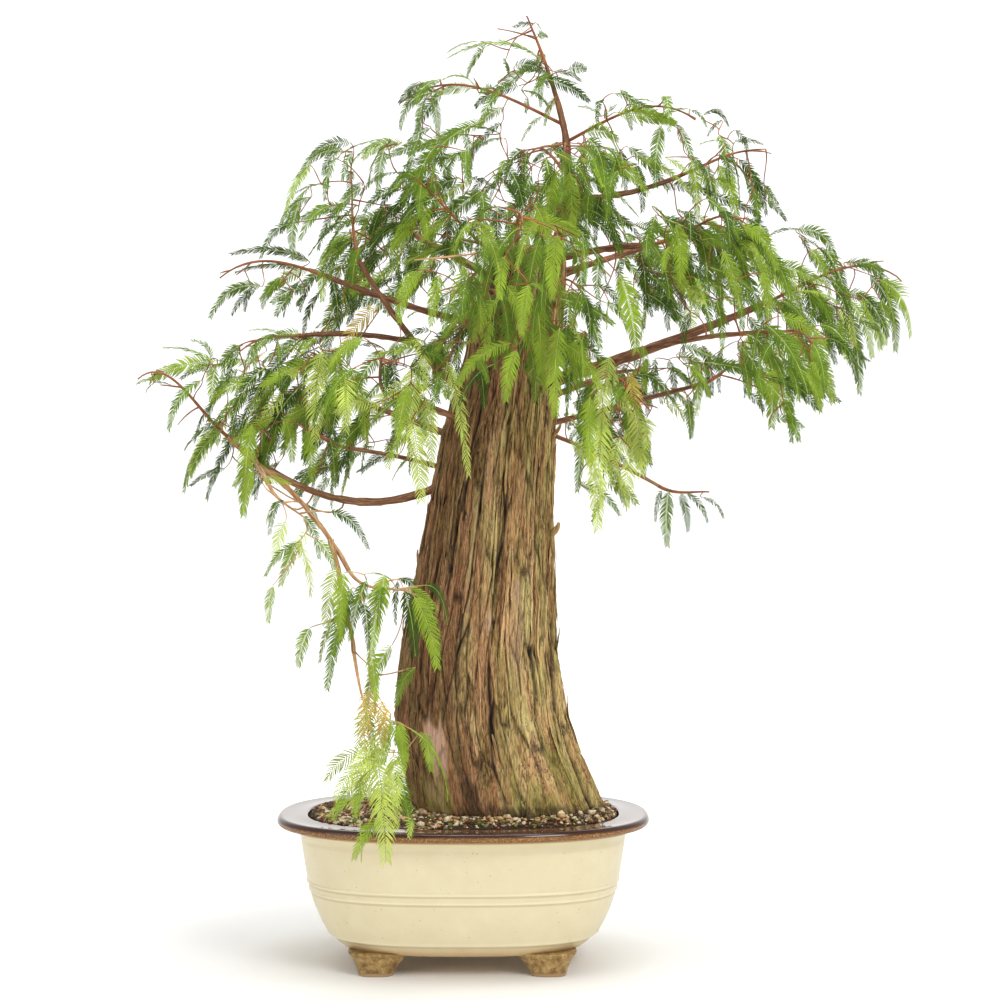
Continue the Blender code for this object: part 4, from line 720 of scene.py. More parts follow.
def bough_material():
    """Young cypress bark: thin, brown and slightly flaking, with dark streaks along it, and
    tan and smoother where the bough is still a shoot."""
    s = settings("bark")
    material, tree, shader = blank("young_bark", 0.78, 1.45)
    grain = node(tree, "ShaderNodeAttribute", {"attribute_name": "grain"})
    streak = node(tree, "ShaderNodeTexNoise", links={
        "Vector": grain.outputs["Vector"], "Scale": 620.0, "Detail": 4.0, "Roughness": 0.6})
    cloud = node(tree, "ShaderNodeTexNoise", links={
        "Vector": grain.outputs["Vector"], "Scale": 120.0, "Detail": 2.0})
    tone = node(tree, "ShaderNodeMath", {"operation": "MULTIPLY_ADD"},
                {0: cloud.outputs["Fac"], 1: 0.6, 2: -0.3})
    tone = node(tree, "ShaderNodeMath", {"operation": "ADD"},
                {0: tone.outputs[0], 1: streak.outputs["Fac"]})
    old = node(tree, "ShaderNodeValToRGB", links={0: tone.outputs[0]},
               stops=((0.30, s.bough_dark), (0.52, s.bough), (0.80, TONES["bough flake"])))
    tan = node(tree, "ShaderNodeValToRGB", links={0: tone.outputs[0]},
               stops=((0.30, TONES["shoot streak"]), (0.52, TONES["shoot bark"]),
                      (0.78, s.light)))
    young = node(tree, "ShaderNodeAttribute", {"attribute_name": "young"})
    young = node(tree, "ShaderNodeSeparateXYZ", links={0: young.outputs["Vector"]})
    face = node(tree, "ShaderNodeMix", {"data_type": "RGBA"},
                {0: young.outputs["X"], 6: old.outputs["Color"], 7: tan.outputs["Color"]})
    tree.links.new(face.outputs[2], shader.inputs["Base Color"])
    bump = node(tree, "ShaderNodeBump", links={"Strength": 0.6, "Distance": 0.4 * MM,
                                               "Height": streak.outputs["Fac"]})
    tree.links.new(bump.outputs["Normal"], shader.inputs["Normal"])
    return material


def mottled(name, middle, roughness, spread, scale, ior=1.45, bump_mm=0.0):
    """One colour, lighter and darker by spread in patches of 1/scale metres, for small things."""
    material, tree, shader = blank(name, roughness, ior)
    place = node(tree, "ShaderNodeTexCoord")
    cloud = node(tree, "ShaderNodeTexNoise", links={
        "Vector": place.outputs["Object"], "Scale": scale, "Detail": 2.0})
    middle = np.array(middle[:])
    dark, light = middle * (1.0 - spread), np.minimum(middle * (1.0 + spread), 1.0)
    dark[3] = light[3] = 1.0
    faces = node(tree, "ShaderNodeValToRGB", links={0: cloud.outputs["Fac"]},
                 stops=((0.36, tuple(dark)), (0.64, tuple(light))))
    tree.links.new(faces.outputs["Color"], shader.inputs["Base Color"])
    if bump_mm:
        bump = node(tree, "ShaderNodeBump", links={
            "Strength": 0.5, "Distance": bump_mm * MM, "Height": cloud.outputs["Fac"]})
        tree.links.new(bump.outputs["Normal"], shader.inputs["Normal"])
    return material


# ---------------------------------------------------------------- trunk
# a soft spot of bare wood, moss or stain: bearing and half width in degrees, height and half
# height in metres, strength
Patch = namedtuple("Patch", "kind bearing height wide tall strength")
PATCHES = [Patch(*row) for row in (
    ("bare", 236, 0.060, 9, 0.030, 1.0), ("bare", 229, 0.020, 7, 0.018, 0.7),
    ("bare", 277, 0.170, 3, 0.012, 0.8), ("bare", 297, 0.202, 3, 0.010, 0.8),
    ("bare", 300, 0.155, 5, 0.045, 0.45), ("bare", 120, 0.090, 8, 0.030, 0.9),
    ("bare", 62, 0.180, 5, 0.030, 0.8), ("bare", 168, 0.230, 5, 0.022, 0.7),
    ("moss", 313, 0.048, 5, 0.042, 0.6), ("moss", 291, 0.014, 13, 0.024, 0.55),
    ("moss", 326, 0.025, 12, 0.040, 0.45), ("moss", 226, 0.016, 16, 0.026, 0.55),
    ("moss", 205, 0.030, 10, 0.045, 0.35), ("moss", 20, 0.020, 22, 0.035, 0.5),
    ("moss", 90, 0.030, 16, 0.050, 0.6), ("moss", 150, 0.015, 20, 0.030, 0.5),
    ("stain", 254, 0.018, 6, 0.022, 0.65), ("stain", 262, 0.004, 20, 0.006, 0.6),
    ("stain", 300, 0.003, 26, 0.006, 0.7), ("stain", 40, 0.003, 60, 0.006, 0.6),
    ("stain", 130, 0.003, 50, 0.006, 0.6), ("stain", 180, 0.060, 5, 0.060, 0.4),
)]
# a long crack: bearings of its foot and top, their heights, half width in degrees and depth
Fissure = namedtuple("Fissure", "low high foot top wide deep")
FISSURES = [Fissure(*row) for row in (
    (277, 281, 0.060, 0.150, 1.5, 0.9), (281, 287, 0.190, 0.330, 1.6, 0.6),
    (314, 318, 0.090, 0.215, 1.8, 0.8), (318, 330, 0.240, 0.400, 1.6, 0.6),
    (255, 262, 0.120, 0.330, 1.5, 0.6), (240, 246, 0.200, 0.400, 1.5, 0.6),
    (222, 228, 0.080, 0.260, 1.6, 0.7), (200, 206, 0.100, 0.340, 1.8, 0.7),
    (338, 341, 0.000, 0.160, 1.8, 0.8), (272, 276, 0.000, 0.070, 1.3, 0.6),
    (12, 16, 0.060, 0.300, 2.0, 0.8), (48, 44, 0.000, 0.240, 2.2, 0.9),
    (82, 86, 0.100, 0.380, 2.0, 0.8), (112, 108, 0.000, 0.200, 2.2, 0.9),
    (140, 146, 0.090, 0.360, 2.0, 0.8), (168, 172, 0.000, 0.220, 2.0, 0.8),
)]
TRUNK_AROUND, TRUNK_UP = 600, 160
# how many strips, fibres and chips of bark go round the trunk, and how tall they are
STRIPS_AROUND, STRIP_TALL = 54, 0.072
FIBRES_AROUND, FIBRE_TALL = 150, 0.034
CHIPS_AROUND, CHIP_TALL = 210, 0.014
# how wide the seams between them are, in parts of a strip, a fibre and a chip
SEAM_WIDE, LINE_WIDE, EDGE_WIDE = 0.17, 0.34, 0.30
DRAWN_OUT = np.array((1.0, 1.0, 0.10))  # patterns run ten times longer up the trunk
# the cut ends' share of the painted seam shade, their tone, and their painted side light
SAWN = (0.35, 0.4, 0.5)           # seam, tone and paleness of the cut ends
CHOP_RINGS = (0.72, 0.40, 0.12)   # rings that close the chopped top, in parts of its edge
# painted light and shade on the bark, by bearing: palest on the lit front right, darkest on the
# shaded front left
PAINTED_SIDE_LIGHT = ((0, 60, 120, 180, 225, 250, 268, 285, 315, 360),
         (0.95, 0.45, 0.60, 0.30, 0.03, 0.12, 0.45, 0.74, 1.00, 0.95))


def trunk_section(height):
    """The trunk's lean and half width at a height over its foot, straight between its rows."""
    return (np.interp(height, TRUNK_ROWS[:, 0], TRUNK_ROWS[:, 1]),
            np.interp(height, TRUNK_ROWS[:, 0], TRUNK_ROWS[:, 2]))


def swollen(bearing, fade):
    """The buttressed circle: 1 + sum of strength e^-(angle/width)^2, the strengths faded."""
    total = np.ones(np.broadcast_shapes(np.shape(bearing), np.shape(fade)))
    for middle, width, strength in BUTTRESSES:
        total = total + strength * fade * np.exp(-(short_way(bearing - middle) / width) ** 2)
    return total


def trunk_core(bearing, height):
    """Smooth trunk: the buttressed circle stretched to the half width at each height and leaned,
    less the furrows, depth e^-(angle/width)^2.  Gives the points and the way outwards."""
    angle = np.radians(bearing)
    fade = FLUTE_LEFT + (1.0 - FLUTE_LEFT) * np.exp(-height / FLUTE_FADE)
    full = np.arange(0.0, 360.0, 2.0)
    ring = swollen(full, fade[..., None])
    across = np.cos(np.radians(full)) * ring
    low, high = across.min(-1), across.max(-1)
    deep = (np.sin(np.radians(full)) * ring).max(-1)
    lean, half = trunk_section(height)
    reach = swollen(bearing, fade)
    x = lean + half * (2.0 * (np.cos(angle) * reach - low) / (high - low) - 1.0)
    y = np.sin(angle) * reach * half * TRUNK_DEPTH / deep
    dent = 0.0
    for middle, depth in FURROWS:
        away = short_way(bearing - FURROW_TWIST * height / TRUNK_HEIGHT - middle)
        dent = dent + depth * half * np.exp(-(away / FURROW_WIDTH) ** 2)
    x, y = x - dent * np.cos(angle), y - dent * np.sin(angle)
    z = TRUNK_FOOT + height + 0.0 * angle
    points = np.stack((x, y, z), axis=-1)
    out = unit(np.stack((x - lean, y / TRUNK_DEPTH, 0.0 * x), axis=-1))
    return points, out


def bark_marks(bearing, height):
    """Moss, bare wood and stain at each point: soft spots with ragged edges."""
    ragged = 0.35 * ripple(bearing / 4.0, height / 0.012, 90, 31)
    ragged = ragged + 0.35 * ripple(bearing / 1.5, height / 0.020, 240, 32)
    found = {"moss": 0.0, "bare": 0.0, "stain": 0.0}
    for patch in PATCHES:
        far = np.hypot(short_way(bearing - patch.bearing) / patch.wide,
                       (height - patch.height) / patch.tall)
        spot = patch.strength * smooth(1.6 * (1.15 - far + ragged))
        found[patch.kind] = np.maximum(found[patch.kind], spot)
    return np.stack((found["moss"], found["bare"], found["stain"]), axis=-1)


def fissures(bearing, height):
    """How open the long fissures are, 1 in their middles: thin lines that drift in bearing."""
    total = np.zeros(np.shape(bearing))
    for f in FISSURES:
        along = np.clip((height - f.foot) / (f.top - f.foot), 0.0, 1.0)
        middle = f.low + (f.high - f.low) * along
        wander = 1.6 * ripple(0.0 * height + f.low, height / 0.022, 999, f.low)
        away = short_way(bearing - middle - wander)
        ends = smooth((height - f.foot + 0.02) / 0.03) * smooth((f.top - height + 0.01) / 0.05)
        total = np.maximum(total, f.deep * ends * np.exp(-(away / f.wide) ** 2))
    return total


def bark_relief(bearing, height, marks, s):
    """Height of the bark over the smooth trunk: long thin strips, fibres on them, flakes and
    fissures.  Gives it in metres, with how deep a seam is, which sets a painted shade, the tones
    of strip and fibre, and the painted light and shade on that side of the tree."""
    u, v = bearing / 360.0, height
    u = u + 0.006 * ripple(u * 11, v / 0.11, 11, 11) + 0.0020 * ripple(u * 41, v / 0.03, 41, 12)
    # where two cells meet, the nearest and the next middle are equally far away
    near, far, strip = cells(u * STRIPS_AROUND, v / STRIP_TALL, STRIPS_AROUND, 3)
    seam = smooth(1.0 - (far - near) / SEAM_WIDE)
    near, far, fibre = cells(u * FIBRES_AROUND, v / FIBRE_TALL, FIBRES_AROUND, 7)
    line = smooth(1.0 - (far - near) / LINE_WIDE)
    near, far, chip = cells(u * CHIPS_AROUND, v / CHIP_TALL, CHIPS_AROUND, 19)
    edge = smooth(1.0 - (far - near) / EDGE_WIDE)
    flake = ripple(u * 260, v / 0.014, 260, 15)
    gape = fissures(bearing, height)
    bare = marks[..., 1]
    calm = (1.0 - 0.85 * bare) * (0.50 + 0.50 * smooth((height - 0.01) / 0.06))
    rise = calm * (s.plate_rise * (strip - 0.5) - s.seam_depth * seam
                   + s.fibre_depth * (0.8 * (fibre - 0.5) - line + 0.5 * flake)
                   + s.chip_rise * (chip - 0.5 - 0.5 * edge))
    rise = rise - s.fissure_depth * gape - 1.0 * MM * bare
    # how deep the seams, fibre lines, chip edges and fissures are, for a painted shade in them
    depth = np.clip(calm * (0.66 * seam + 0.26 * line + 0.22 * edge * (chip < 0.4))
                    + 1.1 * gape, 0.0, 1.0)
    # painted light and shade: the bark paler on the lit side of the trunk and darker on the shaded
    # side
    side_light = np.interp(bearing % 360.0, *PAINTED_SIDE_LIGHT) + 0.18 * ripple(u * 7, v / 0.10, 7, 22)
    return rise, depth, np.stack((0.52 * strip + 0.26 * fibre + 0.22 * chip,
                                   np.clip(side_light, 0.0, 1.0)), axis=-1)


def build_trunk():
    """The trunk: its smooth form on a grid of bearing and height, moved outwards by the bark,
    with the flat cut at the soil and the chopped top closed by rings that shrink to a pole."""
    s = settings("bark")
    bearing = np.arange(TRUNK_AROUND) * 360.0 / TRUNK_AROUND
    height = np.linspace(0.0, TRUNK_HEIGHT, TRUNK_UP)
    b, h = np.meshgrid(bearing, height)
    points, out = trunk_core(b, h)
    marks = bark_marks(b, h)
    rise, depth, tone = bark_relief(b, h, marks, s)
    points = points + out * rise[..., None]
    rings = np.array(CHOP_RINGS)[:, None, None]
    top = points[-1][None]
    middle = top.mean(axis=1, keepdims=True)
    wave = 2.5 * MM * ripple(b[:3] / 20.0, rings[:, :, 0] * 9.0, 18, 41)[..., None]
    caps = middle + (top - middle) * rings + wave * np.array((0.0, 0.0, 1.0))
    vertices, faces = skin(np.concatenate((points, caps)))
    vertices[-1] = middle[0, 0] + (0.0, 0.0, 1.5 * MM)
    extra = len(rings) * TRUNK_AROUND + 2
    # painted shade of the seams, the bark's tone and its painted side light; the chopped top takes
    # the cut ends' values
    relief = np.concatenate((depth[..., None], tone), axis=-1).reshape(-1, 3)
    relief = np.concatenate((relief, np.tile(SAWN, (extra, 1))))
    marks = np.concatenate((marks.reshape(-1, 3), np.zeros((extra, 3))))
    obj = put("trunk_bark", vertices, faces, bark_material(),
              {"relief": relief, "marks": marks, "grain": vertices * DRAWN_OUT})
    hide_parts("trunk")


# a loose strip: bearing, height of its foot, length, slant in degrees, and half width and lift
# in millimetres
Strip = namedtuple("Strip", "bearing height tall slant wide lift")
STRIPS = [Strip(*row) for row in (
    (345, 0.215, 0.045, 0.5, 4.4, 9.0), (344, 0.300, 0.050, -0.5, 4.0, 8.0),
    (353, 0.105, 0.060, 0.5, 3.4, 2.4), (284, 0.095, 0.055, -2.5, 2.6, 3.6),
    (262, 0.180, 0.035, 8.0, 1.6, 5.0), (188, 0.190, 0.045, 0.5, 3.0, 3.4),
    (186, 0.110, 0.060, -1.0, 3.2, 3.0), (80, 0.150, 0.070, 2.0, 3.4, 4.0),
    (110, 0.230, 0.060, -2.0, 3.0, 4.0), (300, 0.060, 0.070, 1.5, 3.0, 2.2),
)]
LOOSE_STRIPS = 270                # all of them: these and the ones that are dealt at random
STRIP_POINTS, STRIP_SIDES = 18, 6
STRIPS_TOP = 0.50                 # strips get shorter towards this height over the foot


def build_strips():
    """Loose strips of bark: ribbons that run up the trunk, thin to both ends and lift off."""
    s = settings("bark")
    rng = np.random.default_rng(77)
    named = np.array(STRIPS)
    t = np.linspace(0.0, 1.0, STRIP_POINTS)[None]

    def dealt(low, high, column=None, factor=1.0):
        """Random values in a column, the named strips' own values first."""
        values = rng.uniform(low, high, LOOSE_STRIPS)
        if column is not None:
            values[:len(named)] = named[:, column] * factor
        return values[:, None]

    foot, tall = dealt(0.004, 0.42, 1), dealt(0.030, 0.13, 2)
    tall = tall * np.minimum(1.0, (STRIPS_TOP - foot) / 0.12)
    start, slant = dealt(0.0, 360.0, 0), dealt(-3.0, 3.0, 3)
    wave = dealt(0.0, 0.8) * np.sin(6.0 * t + dealt(0.0, 6.0))
    height = foot + tall * t
    bearing = start + slant * t + wave
    points, out = trunk_core(bearing, height)
    lift_top = dealt(0.0, 2.6, 5) * MM
    lift = (0.3 * MM + lift_top * smooth((t - 0.66) / 0.34)
            + dealt(0.0, 1.4) * MM * smooth((0.2 - t) / 0.2))
    marks = bark_marks(bearing, height)
    rise, depth, tone = bark_relief(bearing, height, marks, s)
    level = np.maximum(rise, np.median(rise, axis=1, keepdims=True))
    points = points + out * (level + lift)[..., None]
    along = unit(np.gradient(points, axis=1))
    across = unit(np.cross(out, along))
    other = np.cross(along, across)
    curl = (1.1 * np.minimum(1.0, lift_top / (8.0 * MM)) * smooth((t - 0.35) / 0.5))[..., None]
    across, other = (across * np.cos(curl) + other * np.sin(curl),
                     other * np.cos(curl) - across * np.sin(curl))
    taper = np.sin(np.pi * np.clip(t, 0.03, 0.97)) ** 0.5
    wide = dealt(0.7, 2.6, 4) * MM * taper * (1.0 + 0.25 * np.sin(9.0 * t + start))
    thick = dealt(0.25, 0.60) * MM * taper
    vertices, faces = sweep(points, across, other, wide, thick, STRIP_SIDES)

    def spread(values):
        """Values at the path's points, dealt to the ring round each point and to the poles."""
        ring = np.repeat(values, STRIP_SIDES, axis=1)
        return np.concatenate((ring, values[:, :1], values[:, -1:]), axis=1).reshape(-1, 3)

    tone[..., 0] = dealt(0.15, 0.95)
    # the strips carry a tenth of the painted seam shade, and the painted side light of the bark under
    # them
    relief = spread(np.concatenate((0.10 * depth[..., None], tone), axis=-1))
    obj = put("bark_strips", vertices, faces, bpy.data.materials["shredding_bark"],
              {"relief": relief, "marks": spread(0.6 * marks),
               "grain": vertices * DRAWN_OUT})


# ---------------------------------------------------------------- limbs
def level_way(bearing):
    """The level direction of a bearing in degrees, from +X towards +Y."""
    angle = math.radians(bearing)
    return np.array((math.cos(angle), math.sin(angle), 0.0))


def leader_at(height):
    """The leader's centre line: a lean and a half sine bow."""
    t = (np.asarray(height) - TRUNK_FOOT - TRUNK_HEIGHT) / LEADER_RISE
    x = LEADER_FOOT + LEADER_LEAN * t + LEADER_BOW * np.sin(math.pi * t)
    return np.stack((x, 0.0 * x, np.asarray(height, float)), axis=-1)


def along_path(points, t):
    """The point at a part of a path's stations."""
    where = t * (len(points) - 1)
    k = min(int(where), len(points) - 2)
    return points[k] + (points[k + 1] - points[k]) * (where - k)


def grow_limbs(stations=48):
    """Paths and radii of the leader and of every bough: a level reach along a bearing, a
    straight rise, and an arch and a sweep that are parabolas, as in the frame."""
    foot = TRUNK_FOOT + TRUNK_HEIGHT - 4.0 * MM
    leader = leader_at(np.linspace(foot, TRUNK_FOOT + TRUNK_HEIGHT + LEADER_RISE, stations))
    limbs = {"leader": (leader, np.linspace(*LEADER_RADII, stations))}
    for b in BOUGHS:
        heading = level_way(b.bearing)
        side = np.array((-heading[1], heading[0], 0.0))
        start = 0.0
        if b.parent == "trunk":
            lean, half = trunk_section(b.at - TRUNK_FOOT)
            middle = np.array((lean, 0.0, b.at))
            start = half * FOOT_DEPTH / b.reach
        elif b.parent == "leader":
            middle = leader_at(b.at)
        else:
            middle = along_path(limbs[b.parent][0], b.at)
        t = np.linspace(start, 1.0, stations)[:, None]
        bow = 4.0 * t * (1.0 - t)
        points = (middle + heading * b.reach * t + side * b.sweep * bow
                  + np.array((0.0, 0.0, 1.0)) * (b.rise * t + b.arch * bow))
        spread = np.linspace(0.0, 1.0, stations)
        limbs[b.name] = (points, b.foot + (b.tip - b.foot) * spread ** BOUGH_TAPER)
    limbs["leader_tip"] = limbs["leader"]
    return limbs


# how far each end of the youngest boughs has the tan bark of a shoot
YOUNG_SHOOTS = {"left_low": (0.0, 0.9), "cascade": (0.9, 1.0), "cascade_lower": (0.9, 1.0),
                "cascade_drop": (1.0, 1.0), "right_drop": (0.1, 0.4)}


BOUGH_SIDES = 20
COLLAR = (0.35, 0.012)            # how much thicker a bough's foot is, and over what length
KNOTS = (0.16, 0.017)             # how much thicker its knots are, and how far apart


def build_boughs():
    """Leader and boughs: tubes whose radius carries knots and flaking bark."""
    limbs = grow_limbs()
    names = ["leader"] + [b.name for b in BOUGHS]
    points = np.stack([limbs[name][0] for name in names])
    radii = np.stack([limbs[name][1] for name in names])
    sides = BOUGH_SIDES
    along, across, other = carried(points)
    step = np.linalg.norm(np.diff(points, axis=1), axis=2)
    run = np.concatenate((np.zeros((len(names), 1)), np.cumsum(step, axis=1)), axis=1)
    number = np.arange(len(names))[:, None]
    wander = 0.5 * MM * np.sin(run / 0.014 + 2.0 * number) + 0.35 * MM * np.sin(run / 0.0055)
    points = points + across * wander[..., None] * smooth(run / 0.03)[..., None]
    collar = 1.0 + COLLAR[0] * np.exp(-run / COLLAR[1])
    knots = 1.0 + KNOTS[0] * smooth(ripple(run / KNOTS[1], number + 0.0 * run, 999, 5))
    radii = radii * collar * knots
    vertices, faces = sweep(points, across, other, radii, radii, sides)
    local = vertices.reshape(len(names), -1, 3)
    ring = local[:, :-2].reshape(len(names), -1, sides, 3)
    angle = np.arange(sides)[None, None] / sides * 9.0
    bark = ripple(angle + 0.0 * run[..., None], run[..., None] / 0.006 + number[..., None], 9, 6)
    away = unit(ring - points[:, :, None])
    ring = ring + away * (0.16 * radii[..., None] * bark)[..., None]
    local[:, :-2] = ring.reshape(len(names), -1, 3)
    turn = np.arange(sides) / sides * 2.0 * math.pi
    lines = np.stack(np.broadcast_arrays(
        0.006 * np.cos(turn), 0.006 * np.sin(turn),
        0.16 * run[..., None] + 0.03 * number[..., None]), axis=-1)
    grain = np.concatenate((lines.reshape(len(names), -1, 3), lines[:, 0, :1], lines[:, -1, :1]),
                           axis=1)
    ends = np.array([YOUNG_SHOOTS.get(name, (0.0, 0.0)) for name in names])
    t = np.linspace(0.0, 1.0, points.shape[1])[None] ** 2
    young = ends[:, :1] * (1.0 - t) + ends[:, 1:] * t
    young = np.concatenate((np.repeat(young, sides, axis=1), ends), axis=1)
    young = np.repeat(young.reshape(-1, 1), 3, axis=1)
    obj = put("bough_bark", local.reshape(-1, 3), faces, bough_material(),
              {"grain": grain.reshape(-1, 3), "young": young})
    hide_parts("leader", *("bough_" + b.name for b in BOUGHS))


# ---------------------------------------------------------------- twigs and sprays
EYE = (-0.0221, -1.9, 0.4227)     # where the camera stands
DOWN = np.array((0.0, 0.0, -1.0))
CASCADE_RIGHT = -0.084            # the cascade's grown sprays stay left of this, off the trunk
TWIG_PLACES = (0.30, 0.50, 0.70, 0.90)  # where side twigs leave a stem
TWIG_LONGEST, TWIG_SHORTEST = 0.075, 0.012
STEM_STATIONS, TWIG_STATIONS, RIB_STATIONS = 20, 8, 12
TRIES = 12                        # roots tried for each spray that is asked for
ROOTS_FROM, ROOTS_TO = (-0.92, -0.92, -0.55), (0.92, 0.92, 0.94)  # in parts of a space's half
SPRAYS_APART = 0.011              # the least distance from one spray's root to the next
SHRINKS = (1.0, 0.80, 0.64, 0.52)  # a spray that doesn't fit is tried again this much shorter
# how far before or behind a mass's middle the sprays of each tint hang, as a share of its half:
# the sunlit bright ones in front, and the deep ones, a painted shade, behind
TINT_DEPTHS = (-0.65, -0.20, 0.40, -0.60, -0.60)
# sprays that the growth rule adds to each mass behind and between the named ones
FILL = {"top": 14, "top_left": 16, "top_right": 20, "right_shoulder": 14, "upper_centre": 30,
        "upper_left": 32, "dome_left": 28, "left_upper": 10, "left_middle": 32, "left_inner": 22,
        "left_thin": 18, "left_low": 14, "cascade_upper": 4, "cascade_middle": 6,
        "cascade_low": 14, "front_left": 18, "front_right": 24, "front_high": 24,
        "right_inner": 16, "right_upper": 40, "right_tip": 46, "right_shoot": 20,
        "right_low": 22, "right_lone": 0, "back_low_left": 54, "back_low_right": 54,
        "back_middle": 54, "back_upper_left": 54, "back_upper_right": 54, "back_top": 44}
# how long and how far apart the needles of each tint are, for the usual ones
TINT_SIZES = (1.00, 0.90, 0.85, 1.25, 1.20)
TINT_GAPS = (1.0, 0.98, 0.98, 1.50, 1.50)
# the crown's edge and the open places in it, as they stand before the trunk's plane: corners,
# and centres with radii, in millimetres right of the middle and up
OUTLINE = (
    (17, 875), (44, 864), (83, 826), (101, 804), (149, 802), (216, 787), (247, 758), (256, 708),
    (267, 688), (311, 676), (342, 655), (375, 632), (386, 598), (385, 570), (354, 547),
    (337, 517), (324, 533), (311, 507), (282, 473), (256, 473), (232, 515), (216, 526),
    (184, 510), (178, 476), (166, 476), (156, 510), (143, 492), (140, 446), (129, 415),
    (103, 404), (89, 393), (74, 423), (63, 478), (52, 496), (28, 478), (-18, 450), (-55, 423),
    (-87, 423), (-106, 432), (-138, 450), (-142, 423), (-164, 400), (-184, 418), (-198, 436),
    (-228, 404), (-241, 379), (-252, 430), (-270, 415), (-287, 423), (-310, 478), (-307, 513),
    (-344, 524), (-344, 544), (-311, 574), (-283, 586), (-270, 607), (-265, 625), (-252, 655),
    (-206, 656), (-202, 671), (-199, 710), (-186, 737), (-156, 752), (-107, 758), (-94, 793),
    (-70, 811), (-55, 831), (-35, 848), (11, 850),
)
GAPS = (
    # left side, from the top down
    (-222, 629, 7), (-265, 595, 20), (-225, 588, 18), (-195, 584, 12), (-258, 575, 15),
    (-300, 580, 18), (-322, 556, 18), (-128, 588, 10), (-108, 580, 11), (-60, 581, 8),
    (-68, 610, 7), (-280, 515, 9), (-310, 466, 18), (-243, 455, 8), (-192, 455, 10),
    (-134, 500, 7), (-106, 483, 8), (-112, 445, 10), (-58, 470, 9),
    # top and upper left
    (-10, 822, 14), (-42, 822, 12), (-38, 779, 15), (12, 771, 10), (-95, 770, 12),
    (-14, 736, 9), (3, 703, 8), (-38, 727, 6), (-128, 728, 7), (-93, 734, 6), (-150, 708, 8),
    (-178, 716, 5), (-125, 700, 6), (66, 838, 15), (92, 808, 13), (78, 772, 6), (36, 729, 6),
    # upper right
    (126, 802, 11), (165, 797, 13), (206, 792, 10), (112, 763, 7), (138, 764, 6), (130, 753, 6),
    (164, 774, 5), (188, 762, 5), (235, 774, 18), (250, 730, 16), (168, 696, 8), (130, 692, 7),
    (197, 686, 7), (286, 690, 15), (256, 656, 9), (271, 650, 6),
    # right side, from the top down
    (325, 663, 15), (325, 625, 9), (363, 638, 10), (220, 577, 6), (148, 592, 6), (85, 610, 7),
    (215, 530, 11), (150, 496, 13), (300, 488, 15), (312, 536, 8), (346, 536, 12),
    (372, 562, 9))
Spray = namedtuple("Spray", "root pull tip facing width tint")
Twig = namedtuple("Twig", "points base tip")
# bare twigs: limb at the root, limb at the tip, middle, tip, and the radii of both ends
LONE_TWIGS = (("left_low", "cascade", (-146, 394), (-151, 366), 0.9, 0.8),
              ("left_low", "cascade", (-184, 395), (-157, 366), 1.0, 0.7),
              ("front_high", "", (-22, 634), (-74, 630), 1.1, 0.7),
              ("front_high", "", (66, 650), (96, 616), 1.1, 0.7))


def in_space(mass, points, scale=1.0):
    """True where points lie in a mass's space, a superellipsoid about its centre."""
    away = np.abs((points - np.array(mass.centre)) / (np.array(mass.half) * scale))
    return (away ** SPACE_SQUARENESS).sum(axis=-1) < 1.0


def in_trunk(points, clear=3.0 * MM):
    """True where points lie in the trunk or within a clearance of it."""
    height = points[..., 2] - TRUNK_FOOT
    lean, half = trunk_section(height)
    far = np.hypot(points[..., 0] - lean, points[..., 1] / TRUNK_DEPTH)
    return (far < half + clear) & (height > -clear) & (height < TRUNK_HEIGHT)


def in_box(points, clear=1.0 * MM):
    """True where points lie in the frame's own box."""
    low, high = (np.array(corner) for corner in CAD_BOX)
    return ((points > low + clear) & (points < high - clear)).all(axis=-1)


def kept_in(points, clear=2.5 * MM):
    """Points moved straight in to a clearance inside the frame's own box."""
    low, high = (np.array(corner) for corner in CAD_BOX)
    return np.clip(points, low + clear, high - clear)


def seen(u, v, y):
    """The point at depth y that the camera sees at (u, v), millimetres on the trunk's plane."""
    far = (y - EYE[1]) / -EYE[1]
    return np.array((EYE[0] + u * MM * far, y, EYE[2] + (v * MM - EYE[2]) * far))


def in_outline(points):
    """True where points stand inside the crown's edge and outside its open places, from the
    front: each side of the edge that passes right of a point turns inside to outside."""
    far = (points[:, 1] - EYE[1]) / -EYE[1]
    u = (points[:, 0] - EYE[0]) / far / MM
    v = (EYE[2] + (points[:, 2] - EYE[2]) / far) / MM
    a = np.array(OUTLINE, float)[:, None]
    b = np.roll(a, -1, axis=0)
    across = (a[..., 1] > v) != (b[..., 1] > v)
    slope = (b[..., 0] - a[..., 0]) / np.where(b[..., 1] == a[..., 1], 1.0, b[..., 1] - a[..., 1])
    inside = (across & (u < a[..., 0] + (v - a[..., 1]) * slope)).sum(axis=0) % 2 == 1
    gaps = np.array(GAPS, float)[:, None]
    return inside & (np.hypot(gaps[..., 0] - u, gaps[..., 1] - v) > gaps[..., 2]).all(axis=0)


def cubic(a, b, c, d, stations):
    """Points of the cubic curve with these four controls."""
    t = np.linspace(0.0, 1.0, stations)[:, None]
    u = 1.0 - t
    return a * u ** 3 + 3.0 * b * u * u * t + 3.0 * c * u * t * t + d * t ** 3


